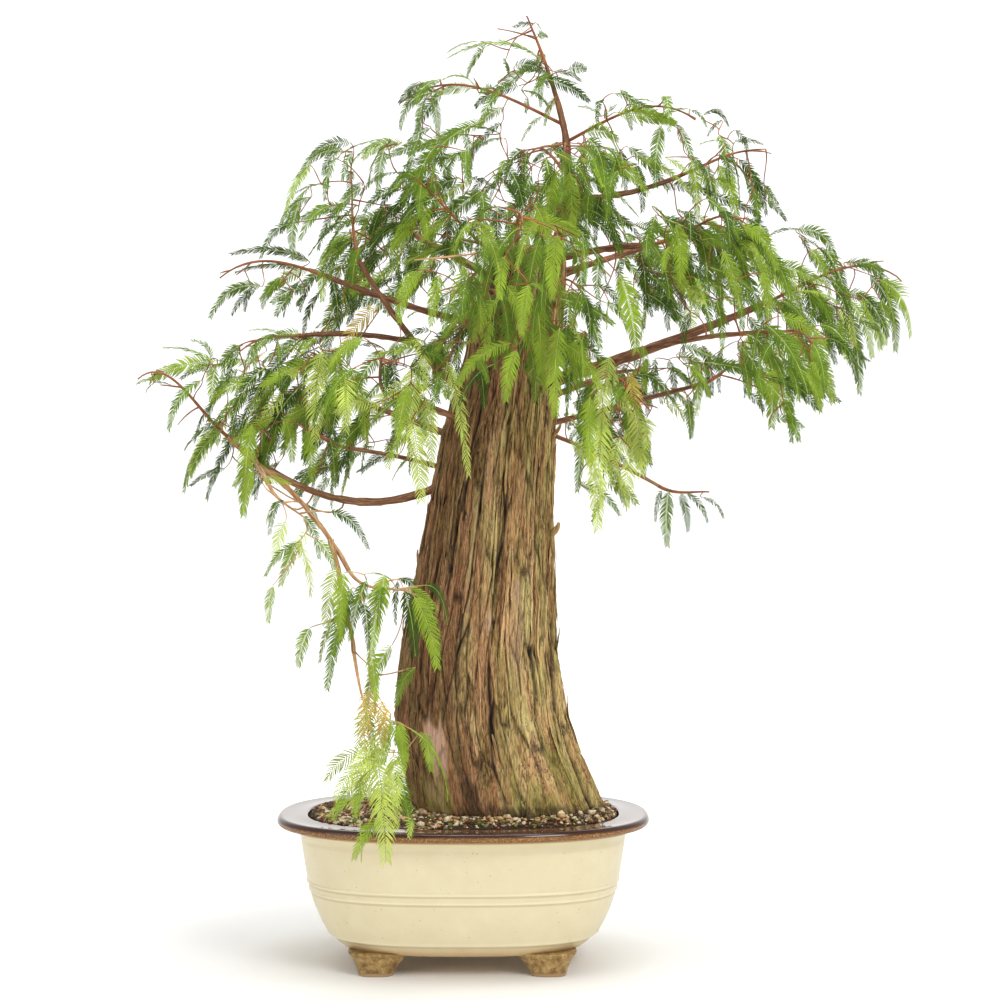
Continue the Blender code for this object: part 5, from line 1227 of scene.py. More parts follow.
def stem_points(mass, limbs, stations):
    """A cubic curve that leaves the bough's tip or the trunk and ends far out in the space."""
    centre, half = np.array(mass.centre), np.array(mass.half)
    if mass.at is None:
        points = limbs[mass.parent][0]
        first = unit(points[-1] - points[-6])
        start = points[-1]
    else:
        if mass.parent == "trunk":
            lean, half_width = trunk_section(mass.at - TRUNK_FOOT)
            middle = np.array((lean, 0.0, mass.at))
            buried = half_width * FOOT_DEPTH
        else:
            middle, buried = leader_at(mass.at), 0.0
        level = unit((centre - middle) * (1.0, 1.0, 0.0))
        first = unit(level + np.array((0.0, 0.0, STEM_LIFT)))
        start = middle + level * buried
    outward = unit((centre - start) * (1.0, 1.0, 0.0))
    parts = STEM_ENDS.get(mass.name, (outward[0] * STEM_OUT, outward[1] * STEM_OUT, STEM_UP))
    end = centre + np.array(parts) * half
    chord = unit(end - start)
    if dot(first, chord) < 0.6:
        first = unit(first + 3.0 * chord)
    last = unit(outward + np.array((0.0, 0.0, STEM_FALL)))
    if end[2] > start[2] + STEM_CLIMB * half[2]:
        last = unit(end - start)
    if dot(last, chord) < 0.3:
        last = unit(last + 2.0 * chord)
    pull = ARC_PULL * np.linalg.norm(end - start)
    return cubic(start, start + first * pull, end - last * pull, end, stations)


def side_twigs(mass, stem, rng):
    """Twigs to the left and right of the stem, as far as the space allows, sagging as t^2."""
    twigs = []
    for k, place in enumerate(TWIG_PLACES):
        base = along_path(stem, place)
        ahead = along_path(stem, min(1.0, place + 0.1)) - along_path(stem, place - 0.1)
        ahead = unit(ahead * (1.0, 1.0, 0.0) + np.array((1e-5, 0.0, 0.0)))
        side = np.array((-ahead[1], ahead[0], 0.0)) * (1 if k % 2 else -1)
        way = unit(side + ahead * rng.uniform(0.2, 0.9) + (0.0, 0.0, rng.uniform(-0.3, 0.5)))
        steps = np.linspace(0.0, TWIG_LONGEST, 25)
        path = base + way * steps[:, None]
        out = ~in_space(mass, path, 0.85) | in_trunk(path, 1.0 * MM)
        reach = steps[max(int(np.argmax(out)) - 1, 0)] if out.any() else steps[-1]
        if reach < TWIG_SHORTEST:
            continue
        t = np.linspace(0.0, 1.0, TWIG_STATIONS)[:, None]
        sway = np.cross(way, (0.0, 0.0, 1.0)) * rng.uniform(-0.25, 0.25)
        sag = np.array((0.0, 0.0, -rng.uniform(0.0, 0.25)))
        points = kept_in(base + reach * (way * t + (sway + sag) * t * t))
        twigs.append(Twig(points, 0.95 * MM, 0.5 * MM))
    return twigs


def turned_facing(root, tip, turn):
    """The way the needles of a spray spread: across it in the front plane, turned about it."""
    along = unit(tip - root)
    across = unit(np.cross(along, (0.0, 1.0, 0.0)))
    deep = np.cross(across, along)
    return across * math.cos(turn) + deep * math.sin(turn)


def named_sprays(mass, rng):
    """The sprays that show from the front: root and tip, and a pull that arches them upwards."""
    centre, half = np.array(mass.centre), np.array(mass.half)
    sprays = []
    for u, v, tip_u, tip_v, lift, width, tint in FRONDS.get(mass.name, ()):
        y = centre[1] + half[1] * (TINT_DEPTHS[tint] + rng.uniform(-0.15, 0.15))
        root = seen(u, v, y)
        tip = seen(tip_u, tip_v, y - rng.uniform(-0.006, 0.010))
        while in_trunk(np.linspace(root, tip, 5), 6.0 * MM).any():
            root, tip = root - (0.0, 0.004, 0.0), tip - (0.0, 0.004, 0.0)
        size = np.linalg.norm(tip - root)
        root, tip = kept_in(root), kept_in(tip)
        chord = tip - root
        upper = unit(np.cross((0.0, 1.0, 0.0), chord))
        if upper[2] < 0.0:
            upper = -upper
        sway = np.array((0.0, rng.uniform(-0.10, 0.10), 0.0))
        pull = kept_in(root + chord * 0.42 + (upper * lift * 0.02 + sway) * size)
        turn = math.acos(min(1.0, width / 100.0)) * (1 if rng.uniform() < 0.5 else -1)
        turn += rng.uniform(-0.35, 0.35)
        sprays.append(Spray(root, pull, tip, turned_facing(root, tip, turn),
                            max(1.0, width / 100.0), tint))
    return sprays


def grown_sprays(mass, count, rng, s):
    """Sprays by the rule: each leaves its root outwards, arches over and hangs in the space."""
    centre, half = np.array(mass.centre), np.array(mass.half)
    shares = np.array(TINTS.get("back" if "back" in mass.name else mass.name, USUAL_TINTS))
    sprays, roots = [], np.full((1, 3), 9.0)
    for attempt in range(count * TRIES):
        if len(sprays) == count:
            break
        root = centre + half * rng.uniform(ROOTS_FROM, ROOTS_TO)
        apart = np.linalg.norm(roots - root, axis=1).min()
        if not in_space(mass, root, 0.97) or apart < SPRAYS_APART or in_trunk(root, 6.0 * MM):
            continue
        if mass.name.startswith("cascade") and root[0] > CASCADE_RIGHT:
            continue
        bearing = math.degrees(math.atan2(root[1], root[0])) + rng.uniform(-65.0, 65.0)
        outward = level_way(bearing)
        longest = rng.uniform(s.spray_short, s.spray_long)
        fall = mass.droop * rng.uniform(0.15, 1.0)
        lean = outward * rng.uniform(0.25, 1.0) + DOWN * fall
        rise = outward * rng.uniform(0.10, 0.30) + (0.0, 0.0, rng.uniform(0.02, 0.16))
        bound = not mass.name.startswith(("cascade", "right_lone"))
        for shrink in SHRINKS:
            size = longest * shrink
            tip = root + unit(lean) * size
            pull = root + unit(lean) * 0.40 * size + rise * size
            path = cubic(root, root * 0.333 + pull * 0.667, tip * 0.333 + pull * 0.667, tip, 8)
            if (in_space(mass, path, 1.04).all() and not in_trunk(path, 4.0 * MM).any()
                    and in_box(path).all() and (in_outline(path).all() or not bound)):
                turn = rng.normal(0.0, 0.6) if rng.uniform() < 0.6 else rng.uniform(-1.6, 1.6)
                tint = int(rng.choice(len(TINT_NAMES), p=shares / shares.sum()))
                sprays.append(Spray(root, pull, tip, turned_facing(root, tip, turn),
                                    rng.uniform(0.85, 1.15), tint))
                roots = np.concatenate((roots, root[None]))
                break
    return sprays


def end_sprays(mass, stem, twigs, rng):
    """A short spray at the end of the stem and of each side twig, as all twigs end in leaf."""
    sprays = []
    for points in [stem] + [twig.points for twig in twigs]:
        way = unit(points[-1] - points[-3])
        size = rng.uniform(0.028, 0.048)
        tip = points[-1] + unit(way * rng.uniform(0.6, 1.2) + DOWN) * size
        path = np.linspace(points[-1], tip, 4)
        fits = in_outline(path).all() or mass.name.startswith("cascade")
        if fits and in_box(path, 6.0 * MM).all() and not in_trunk(path, 5.0 * MM).any():
            facing = turned_facing(points[-1], tip, rng.normal(0.0, 0.7))
            sprays.append(Spray(points[-1], points[-1] + way * 0.45 * size, tip, facing, 0.9,
                                int(rng.integers(1, 3))))
    return sprays


def joining_twigs(sprays, nodes, ways):
    """A thin twig to each spray from the nearest wood, the nearest sprays first, so that later
    twigs fork from earlier ones.  Wood further out than the spray counts as further off."""
    twigs = []
    roots = np.array([spray.root for spray in sprays])
    near = np.linalg.norm(roots[:, None] - nodes[None], axis=2).min(axis=1)
    for k in np.argsort(near):
        root = roots[k]
        gap = np.linalg.norm(nodes - root, axis=1)
        past = np.hypot(nodes[:, 0], nodes[:, 1]) - math.hypot(root[0], root[1])
        nearest = int(np.argmin(gap + 0.7 * np.maximum(past, 0.0)))
        size = gap[nearest]
        if size < 1.0 * MM:
            continue
        start = nodes[nearest]
        chord = (root - start) / size
        first = unit(chord + 0.5 * ways[nearest] + (0.0, 0.0, 0.15))
        leaving = unit(sprays[k].pull - root)
        backwards = max(0.0, -float(dot(leaving, chord)))
        last = unit(leaving * (1.0, 1.0, 0.35) + (0.8 + 1.6 * backwards) * chord)
        points = cubic(start, start + first * 0.36 * size, root - last * 0.32 * size, root,
                       TWIG_STATIONS)
        points = kept_in(points)
        twigs.append(Twig(points, min(1.1, 0.50 + 7.0 * size) * MM, 0.42 * MM))
        nodes = np.concatenate((nodes, points[2:]))
        ways = np.concatenate((ways, unit(np.gradient(points, axis=0))[2:]))
    return twigs


def named_twigs(limbs):
    """The few bare twigs that hang alone: from a limb towards a point before the trunk's plane,
    or on to the nearest point of a second limb."""
    twigs = []
    for start, end, middle, tip, base, thin in LONE_TWIGS:
        points = limbs[start][0]
        bend, last = seen(*middle, 0.0), seen(*tip, 0.0)
        level = np.linalg.norm((points - bend) * (1.0, 0.0, 1.0), axis=1)
        root = points[int(np.argmin(level))]
        bend[1] = last[1] = root[1]
        if end:
            points = limbs[end][0]
            last = points[int(np.argmin(np.linalg.norm(points - last, axis=1)))]
        path = cubic(root, root * 0.333 + bend * 0.667, last * 0.333 + bend * 0.667, last,
                     TWIG_STATIONS)
        twigs.append(Twig(kept_in(path), base * MM, thin * MM))
    return twigs


def grow_mass(number, mass, limbs, s):
    """Stem, side twigs, the sprays and the twigs that carry them."""
    rng = np.random.default_rng(s.seed + number)
    stem = kept_in(stem_points(mass, limbs, STEM_STATIONS))
    # a stem is cut off where it leaves the crown's outline, and a hanging one at 14 stations
    hanging = mass.name.startswith(("cascade", "right_lone"))
    inside = np.arange(STEM_STATIONS) < 14 if hanging else in_outline(stem)
    inside[:5] = True
    end = int(np.nonzero(inside)[0].max()) / (STEM_STATIONS - 1.0)
    stem = np.stack([along_path(stem, t) for t in np.linspace(0.0, end, STEM_STATIONS)])
    twigs = [] if mass.name == "right_lone" else side_twigs(mass, stem, rng)
    count = int(round(FILL[mass.name] * s.fullness))
    sprays = named_sprays(mass, rng) + grown_sprays(mass, count, rng, s)
    sprays = sprays + end_sprays(mass, stem, twigs, rng)
    wood = [limbs[name][0][::2] for name in limbs] + [stem] + [twig.points for twig in twigs]
    nodes = np.concatenate(wood)
    ways = np.concatenate([unit(np.gradient(points, axis=0)) for points in wood])
    clear = ~in_trunk(nodes, 0.0)
    twigs = twigs + joining_twigs(sprays, nodes[clear], ways[clear])
    return stem, twigs, sprays


CROWN = {}


def grow_crown():
    """Twigs and sprays of every mass, grown once and kept for the operators that use them."""
    s = settings("foliage")
    if not CROWN:
        limbs = grow_limbs()
        for number, mass in enumerate(MASSES):
            CROWN[mass.name] = grow_mass(number, mass, limbs, s)
    return CROWN


def part_of_crown(name):
    """Which part of the crown a mass is in, so that no piece gets too many faces."""
    if name.startswith("cascade"):
        return "cascade"
    if name.startswith("back"):
        return "back"
    if name.startswith("left") or name == "dome_left":
        return "left"
    if name.startswith("right"):
        return "right"
    return "middle"


PARTS = ("cascade", "left", "middle", "right", "back")


def build_twigs():
    """Stems, side twigs and the twigs that carry sprays, as five-sided tubes."""
    crown = grow_crown()
    s = settings("foliage")
    for part in PARTS:
        grown = [(stem, twigs) for name, (stem, twigs, sprays) in crown.items()
                 if part_of_crown(name) == part]
        # young wood: smooth thin bark, satin, red-brown in light and tan on long shoots
        wood = s.shoot if part == "cascade" else s.twig
        material = mottled("young_wood_" + part, wood, 0.55, 0.30, 90.0)
        stems = np.stack([stem for stem, twigs in grown])
        t = np.linspace(0.0, 1.0, stems.shape[1])
        vertices, faces = tubes(stems, np.tile((1.7 - 1.0 * t) * MM, (len(stems), 1)), 8)
        obj = put("stems_" + part, vertices, faces, material)
        rows = [twig for stem, twigs in grown for twig in twigs]
        rows = rows + (named_twigs(grow_limbs()) if part == "cascade" else [])
        points = np.stack([twig.points for twig in rows])
        ends = np.array([(twig.base, twig.tip) for twig in rows])
        t = np.linspace(0.0, 1.0, TWIG_STATIONS)
        radii = ends[:, :1] * (1.0 - t) + ends[:, 1:] * t
        radii = radii * (1.0 + 0.10 * np.sin(11.0 * t + 3.0 * np.arange(len(rows))[:, None]))
        vertices, faces = tubes(points, radii, 5)
        obj = put("twigs_" + part, vertices, faces, material)


RIB_LEAFY = (0.02, 0.99)          # the part of a rib that carries needles
NEEDLE_LEAN = (74.0, 24.0)        # angle off the rib at its foot, and how far it closes, degrees
NEEDLE_BEND = math.radians(15.0)  # how far a needle turns forwards at each of its two rings
NEEDLE_PARTS = (0.09, 0.51, 0.40)  # parts of its length up to its rings and its tip


def needle_arrays(sprays, s, tint):
    """Needles of many sprays, two ranks on each rib, which is the curve u^2 root + 2ut pull +
    t^2 tip.  A needle leaves its rib at an angle that closes towards the tip, curves forwards,
    and is a keeled blade: two rings of three points with a point at each end."""
    root, pull, tip, facing = (np.array([getattr(p, key) for p in sprays])[:, None]
                               for key in ("root", "pull", "tip", "facing"))
    widths = np.array([p.width for p in sprays])
    t = np.linspace(0.0, 1.0, RIB_STATIONS)[None, :, None]
    path = root * (1 - t) ** 2 + 2 * pull * t * (1 - t) + tip * t * t
    ways = unit((pull - root) * (1 - t) + (tip - pull) * t)
    lengths = np.linalg.norm(np.diff(path, axis=1), axis=2).sum(axis=1)
    facing = facing[:, 0]
    gap = s.needle_gap * TINT_GAPS[tint]
    most = int(lengths.max() / gap) + 1
    who, j, side = np.meshgrid(np.arange(len(sprays)), np.arange(most), (-1.0, 1.0),
                               indexing="ij")
    who, j, side = who.ravel(), j.ravel(), side.ravel()
    at = (j + 0.5 + 0.22 * side) * gap / lengths[who]
    keep = (at > RIB_LEAFY[0]) & (at < RIB_LEAFY[1])
    who, at, side = who[keep], at[keep], side[keep]
    rng = np.random.default_rng(s.seed + len(sprays))
    jitter = rng.normal(0.0, 1.0, (5, len(who)))
    where = at * (RIB_STATIONS - 1)
    k = np.minimum(where.astype(int), RIB_STATIONS - 2)
    part = (where - k)[:, None]
    base = path[who, k] * (1 - part) + path[who, k + 1] * part
    along = unit(ways[who, k] * (1 - part) + ways[who, k + 1] * part)
    out = unit(facing[who] - along * dot(facing[who], along))
    normal = np.cross(along, out)
    grown = (1.0 - 0.75 * np.exp(-at * 11.0)) * (1.0 - 0.62 * at ** 1.8)
    size = s.needle_length * TINT_SIZES[tint] * widths[who]
    size = size * np.minimum(1.0, lengths[who] / 0.070) ** 0.5
    size = size * grown * (1.0 + 0.08 * jitter[0])
    angle = np.radians(NEEDLE_LEAN[0] - NEEDLE_LEAN[1] * at + 5.0 * jitter[1])
    tilt = 0.10 * jitter[2][:, None]

    def towards(turn):
        """The way of a needle that stands off its rib by an angle."""
        turn = turn[:, None]
        way = np.cos(turn) * along + np.sin(turn) * side[:, None] * out + normal * tilt
        return unit(way + 0.12 * DOWN)

    w0, w1, w2 = (towards(angle - turns * NEEDLE_BEND) for turns in range(3))
    size = size[:, None]
    p1 = base + w0 * NEEDLE_PARTS[0] * size
    p2 = p1 + w1 * NEEDLE_PARTS[1] * size
    p3 = p2 + w2 * NEEDLE_PARTS[2] * size
    inside = in_box(p3)
    twist = (0.35 * jitter[3])[:, None]
    half = s.needle_half_width * np.clip(size / s.needle_length, 0.45, 1.0) ** 0.5

    def ring(point, way, scale):
        """Left edge, right edge and keel of a needle."""
        flat = unit(np.cross(normal, way))
        up = np.cross(way, flat)
        flat, up = (np.cos(twist) * flat + np.sin(twist) * up,
                    np.cos(twist) * up - np.sin(twist) * flat)
        return (point - flat * half * scale, point + flat * half * scale,
                point + up * s.needle_half_thick)

    vertices = np.stack((base, *ring(p1, w1, 1.0), *ring(p2, w2, 0.80), p3), axis=1)[inside]
    shape = np.array(((0, 2, 1), (0, 3, 2), (0, 1, 3),
                      (1, 2, 5), (1, 5, 4), (2, 3, 6), (2, 6, 5), (3, 1, 4), (3, 4, 6),
                      (7, 4, 5), (7, 5, 6), (7, 6, 4)))
    faces = shape[None] + (np.arange(len(vertices)) * 8)[:, None, None]
    return vertices.reshape(-1, 3), faces.reshape(-1, 3), path, lengths


def build_needles():
    """Needles by tint and part of the crown, and the green ribs that carry them."""
    crown = grow_crown()
    s = settings("foliage")
    rib_paths, rib_lengths = [], []
    for tint, tint_name in enumerate(TINT_NAMES):
        # cypress needle: soft thin leaf with a waxy skin, satin when lit from the side
        material = mottled("needle_" + tint_name, getattr(s, tint_name), 0.60, 0.22, 32.0, 1.33)
        for part in PARTS:
            sprays = [p for name, (stem, twigs, grown) in crown.items()
                      if part_of_crown(name) == part for p in grown if p.tint == tint]
            if not sprays:
                continue
            vertices, faces, path, lengths = needle_arrays(sprays, s, tint)
            obj = put("needles_" + tint_name + "_" + part, vertices, [faces], material, flat=True)
            rib_paths.append(path)
            rib_lengths.append(lengths)
    path = np.concatenate(rib_paths)
    size = np.concatenate(rib_lengths)
    t = np.linspace(0.0, 1.0, RIB_STATIONS)
    radii = (0.52 - 0.30 * t)[None] * MM * np.minimum(1.0, size / 0.08)[:, None]
    vertices, faces = tubes(path, radii, 4)
    # green rib: this year's soft shoot, as satin as the needles that it carries
    obj = put("spray_ribs", vertices, faces,
              mottled("green_rib", TONES["green rib"], 0.55, 0.3, 60.0))
    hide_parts(*("mass_" + m.name for m in MASSES))


# ---------------------------------------------------------------- pot
POT_AROUND = 240
# the bowl's outside: height and half length, from under the base up to below the rim
BOWL_OUTSIDE = np.array(((0.0185, 0.1040), (0.0205, 0.1105), (0.0240, 0.1150), (0.0340, 0.1250),
                         (0.0520, 0.1340), (0.0750, 0.1410), (0.0960, 0.1450), (0.1154, 0.1480)))
WALL_ROW = 3                      # from this row of it up, the wall is one cubic curve
RIDGES = ((0.0790, 1.5), (0.0712, 1.3))  # height, and how many times the usual ridge
BASE_ROLL = 0.0315                # height of the soft roll round the base
FLARE = ((0.1152, 0.1278), 0.1655)  # heights of the flare under the rim, and where it ends
LIP_ROUND = 0.0042                # how far the lip's outside bulges
EDGE_ROUND = 1.6 * MM             # radius of the ledge's inner edge
INSIDE = ((0.1290, 0.0008), (0.1150, 0.0030))  # height, and how far in from the ledge's edge
BASE_RINGS, WALL_RINGS = 16, 110  # rings of the section's parts, from under the base up
FLARE_RINGS, LIP_RINGS, LEDGE_RINGS, EDGE_RINGS = 12, 14, 12, 6
FOOT_REACH = (0.074, 0.056)       # centre of each foot, out from the pot's centre in X and Y
FOOT_HEIGHT = 0.0212
FOOT_SOLE_HALF = (0.016, 0.013)
FOOT_FLARE = (0.013, 0.009)       # how much wider its half sizes are at the top
FOOT_SPLAY = 0.003                # the sole stands this much further out than the top
FOOT_SQUARENESS = 3.0
FOOT_RINGS, FOOT_AROUND = 22, 64


def oval(half_length, half_depth, squareness, around):
    """A superellipse: cosine and sine, each to the power 2 / squareness with its sign kept."""
    angle = np.arange(around) * 2.0 * math.pi / around
    c, s = np.cos(angle), np.sin(angle)
    power = 2.0 / squareness
    return (np.sign(c) * np.abs(c) ** power * half_length,
            np.sign(s) * np.abs(s) ** power * half_depth)


def ring_stack(rows, around, x=0.0, y=0.0):
    """Rings of superellipses, each row a height, two half sizes and a squareness."""
    rings = []
    for height, half_length, half_depth, squareness in rows:
        a, b = oval(half_length, half_depth, squareness, around)
        rings.append(np.stack((x + a, y + b, np.full(around, height)), axis=1))
    return np.stack(rings)


def pot_rows():
    """The bowl's section from under its base, up the outside, over the lip and down inside:
    straight pieces round the base, a cubic wall with ridges e^-(height/1 mm)^2 on it, a flare
    by powers, a half round lip, a ledge that dips by a sine and a quarter round edge."""
    s = settings("pot")
    corner, top = BOWL_OUTSIDE[WALL_ROW, 0], 0.1150
    fit = np.polyfit(BOWL_OUTSIDE[WALL_ROW:, 0], BOWL_OUTSIDE[WALL_ROW:, 1], 3)
    heights = np.concatenate((np.linspace(BOWL_OUTSIDE[0, 0], corner, BASE_RINGS),
                              np.linspace(corner + 0.6 * MM, top, WALL_RINGS)))
    half = np.where(heights < corner, np.interp(heights, *BOWL_OUTSIDE.T),
                    np.polyval(fit, heights))
    for middle, size in RIDGES:
        half = half + size * s.ridge * np.exp(-((heights - middle) / (1.0 * MM)) ** 2)
    half = half + 1.6 * MM * np.exp(-((heights - BASE_ROLL) / (1.6 * MM)) ** 2)
    rows = [(h, a, BODY_SQUARENESS) for h, a in zip(heights, half)]
    (low, high), reach = FLARE
    for t in np.linspace(0.06, 1.0, FLARE_RINGS):
        rows.append((low + (high - low) * t ** 0.8, half[-1] + (reach - half[-1]) * t ** 2.2,
                     BODY_SQUARENESS + (RIM_SQUARENESS - BODY_SQUARENESS) * t))
    for angle in np.radians(np.linspace(-62.0, 90.0, LIP_RINGS)):
        rows.append((RIM_TOP - RIM_ROLL / 2.0 + RIM_ROLL / 2.0 * math.sin(angle),
                     RIM_HALF_LENGTH - LIP_ROUND + LIP_ROUND * math.cos(angle), RIM_SQUARENESS))
    for t in np.linspace(0.08, 0.94, LEDGE_RINGS):
        rows.append((RIM_TOP - 0.5 * MM * math.sin(math.pi * t),
                     RIM_HALF_LENGTH - LIP_ROUND - (LEDGE - LIP_ROUND - 2.0 * MM) * t,
                     RIM_SQUARENESS))
    for angle in np.radians(np.linspace(80.0, 0.0, EDGE_RINGS)):
        rows.append((RIM_TOP - EDGE_ROUND + EDGE_ROUND * math.sin(angle),
                     RIM_HALF_LENGTH - LEDGE + EDGE_ROUND * (1.0 - math.cos(angle)),
                     RIM_SQUARENESS))
    for height, inset in INSIDE:
        rows.append((height, RIM_HALF_LENGTH - LEDGE - inset, RIM_SQUARENESS))
    return [(h, a, RIM_HALF_DEPTH - DEPTH_FOLLOWS * (RIM_HALF_LENGTH - a), q)
            for h, a, q in rows], glaze_shares(heights, len(rows))


def glaze_shares(heights, rows):
    """How much amber, dark lip and pale ledge glaze each row of the section has, and the painted
    shadow 2 mm under each ridge and the base roll and the painted highlight on it: the amber hangs
    under the roll, the lip is dark and the ledge pale up to the inner edge.  Both painted marks
    fall off as e^-(distance/0.9 mm)^2."""
    row = np.arange(rows) - len(heights)
    edge = FLARE_RINGS + LIP_RINGS + LEDGE_RINGS
    amber = smooth((row - 8.0) / 2.5) * (row < FLARE_RINGS + 10)
    lip = smooth((row - FLARE_RINGS - 5.0) / 2.5)
    ledge = smooth((row - FLARE_RINGS - 12.0) / 2.0) * smooth((edge + 4.0 - row) / 3.0)
    pooled = np.zeros((rows, 3))
    for middle in (*(ridge[0] for ridge in RIDGES), BASE_ROLL):
        pooled[:len(heights), 0] += np.exp(-((heights - middle + 2.0 * MM) / (0.9 * MM)) ** 2)
        pooled[:len(heights), 1] += np.exp(-((heights - middle) / (0.9 * MM)) ** 2)
    return np.stack((amber, lip, ledge), axis=1), pooled


def glaze_material():
    """Stoneware glaze, dipped: satin cream on the body, an amber run below the rim and a thick
    dark gloss on the lip, with the specks that iron makes in the clay."""
    s = settings("pot")
    material, tree, shader = blank("stoneware_glaze", 0.3, 1.52)
    place = node(tree, "ShaderNodeTexCoord").outputs["Object"]
    axes = node(tree, "ShaderNodeSeparateXYZ", links={0: place})
    glazes, pooled = (node(tree, "ShaderNodeAttribute", {"attribute_name": name})
                      for name in ("glazes", "pooled"))
    shares = node(tree, "ShaderNodeSeparateXYZ", links={0: glazes.outputs["Vector"]})
    ridge_marks = node(tree, "ShaderNodeSeparateXYZ", links={0: pooled.outputs["Vector"]})
    # clouds of 18 mm in the cream, places of 11 mm that have specks, and grain of 1 mm in the
    # amber
    drift, rare, grainy = (
        node(tree, "ShaderNodeTexNoise", links={
            "Vector": place, "Scale": scale, "Detail": detail, "Roughness": rough}).outputs["Fac"]
        for scale, detail, rough in ((55.0, 4.0, 0.6), (90.0, 1.0, 0.5), (900.0, 2.0, 0.5)))
    height = node(tree, "ShaderNodeMath", {"operation": "MULTIPLY_ADD"},
                  {0: drift, 1: 2.4 * MM, 2: axes.outputs["Z"]})
    foot = node(tree, "ShaderNodeMapRange", links={
        0: height.outputs[0], 1: 0.0225, 2: BASE_ROLL, 3: 0.75, 4: 0.0})
    specks = node(tree, "ShaderNodeTexVoronoi", links={
        "Vector": place, "Scale": 260.0, "Randomness": 1.0})
    speck = node(tree, "ShaderNodeMapRange", links={
        0: specks.outputs["Distance"], 1: 0.10, 2: 0.20, 3: 0.55, 4: 0.0})
    few = node(tree, "ShaderNodeMapRange", links={0: rare, 1: 0.56, 2: 0.66, 3: 0.0, 4: 1.0})
    # painted shadow under each ridge and the base roll, and painted highlight on their tops
    speck, ridge_shadow, ridge_highlight, coat = (
        node(tree, "ShaderNodeMath", {"operation": "MULTIPLY"}, {0: value, 1: by}).outputs[0]
        for value, by in ((speck.outputs[0], few.outputs[0]), (ridge_marks.outputs["X"], 0.5),
                          (ridge_marks.outputs["Y"], 0.6), (shares.outputs["Z"], 0.3)))
    amber = node(tree, "ShaderNodeValToRGB", links={0: grainy},
                 stops=((0.38, TONES["dark amber"]), (0.52, s.amber),
                        (0.68, TONES["pale amber"])))
    face = s.cream
    for share_of, over in ((drift, TONES["thick cream"]), (foot.outputs[0], TONES["toasted foot"]),
                           (speck, TONES["iron speck"]), (ridge_shadow, TONES["painted ridge shadow"]),
                           (ridge_highlight, TONES["painted ridge highlight"]),
                           (shares.outputs["X"], amber.outputs["Color"]),
                           (shares.outputs["Y"], s.lip), (shares.outputs["Z"], s.ledge)):
        face = node(tree, "ShaderNodeMix", {"data_type": "RGBA"},
                    {0: share_of, 6: face, 7: over}).outputs[2]
    tree.links.new(face, shader.inputs["Base Color"])
    shine = node(tree, "ShaderNodeMapRange", links={
        0: shares.outputs["Y"], 1: 0.0, 2: 1.0, 3: 0.36, 4: 0.10})
    tree.links.new(shine.outputs[0], shader.inputs["Roughness"])
    tree.links.new(coat, shader.inputs["Coat Weight"])
    shader.inputs["Coat IOR"].default_value = 1.6
    shader.inputs["Coat Roughness"].default_value = 0.06
    bump = node(tree, "ShaderNodeBump", links={
        "Strength": 0.25, "Distance": 0.35 * MM, "Height": drift})
    tree.links.new(bump.outputs["Normal"], shader.inputs["Normal"])
    return material


def foot_material():
    """Thin amber glaze over stoneware that stops short of the sole, where the clay is bare."""
    s = settings("pot")
    material, tree, shader = blank("amber_glaze_on_clay", 0.38, 1.5)
    place = node(tree, "ShaderNodeTexCoord")
    axes = node(tree, "ShaderNodeSeparateXYZ", links={0: place.outputs["Object"]})
    drift = node(tree, "ShaderNodeTexNoise", links={
        "Vector": place.outputs["Object"], "Scale": 160.0, "Detail": 5.0, "Roughness": 0.7})
    glaze = node(tree, "ShaderNodeValToRGB", links={0: drift.outputs["Fac"]},
                 stops=((0.36, TONES["foot shade"]), (0.50, TONES["foot glaze"]),
                        (0.66, TONES["foot light"])))
    height = node(tree, "ShaderNodeMath", {"operation": "MULTIPLY_ADD"},
                  {0: drift.outputs["Fac"], 1: 5.0 * MM, 2: axes.outputs["Z"]})
    sole = node(tree, "ShaderNodeMapRange", links={
        0: height.outputs[0], 1: 0.0042, 2: 0.0055, 3: 1.0, 4: 0.0})
    mix = node(tree, "ShaderNodeMix", {"data_type": "RGBA"},
               {0: sole.outputs[0], 6: glaze.outputs["Color"], 7: s.clay})
    tree.links.new(mix.outputs[2], shader.inputs["Base Color"])
    bump = node(tree, "ShaderNodeBump", links={
        "Strength": 0.4, "Distance": 0.4 * MM, "Height": drift.outputs["Fac"]})
    tree.links.new(bump.outputs["Normal"], shader.inputs["Normal"])
    return material


def build_pot():
    """The bowl in one skin, with its ridges, lip and ledge."""
    rows, marks = pot_rows()
    vertices, faces = skin(ring_stack(rows, POT_AROUND, POT_X))
    glazes, pooled = (np.concatenate((np.repeat(mark, POT_AROUND, axis=0), mark[:1], mark[-1:]))
                      for mark in marks)
    obj = put("glazed_bowl", vertices, faces, glaze_material(),
              {"glazes": glazes, "pooled": pooled})
    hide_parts("pot_bowl")


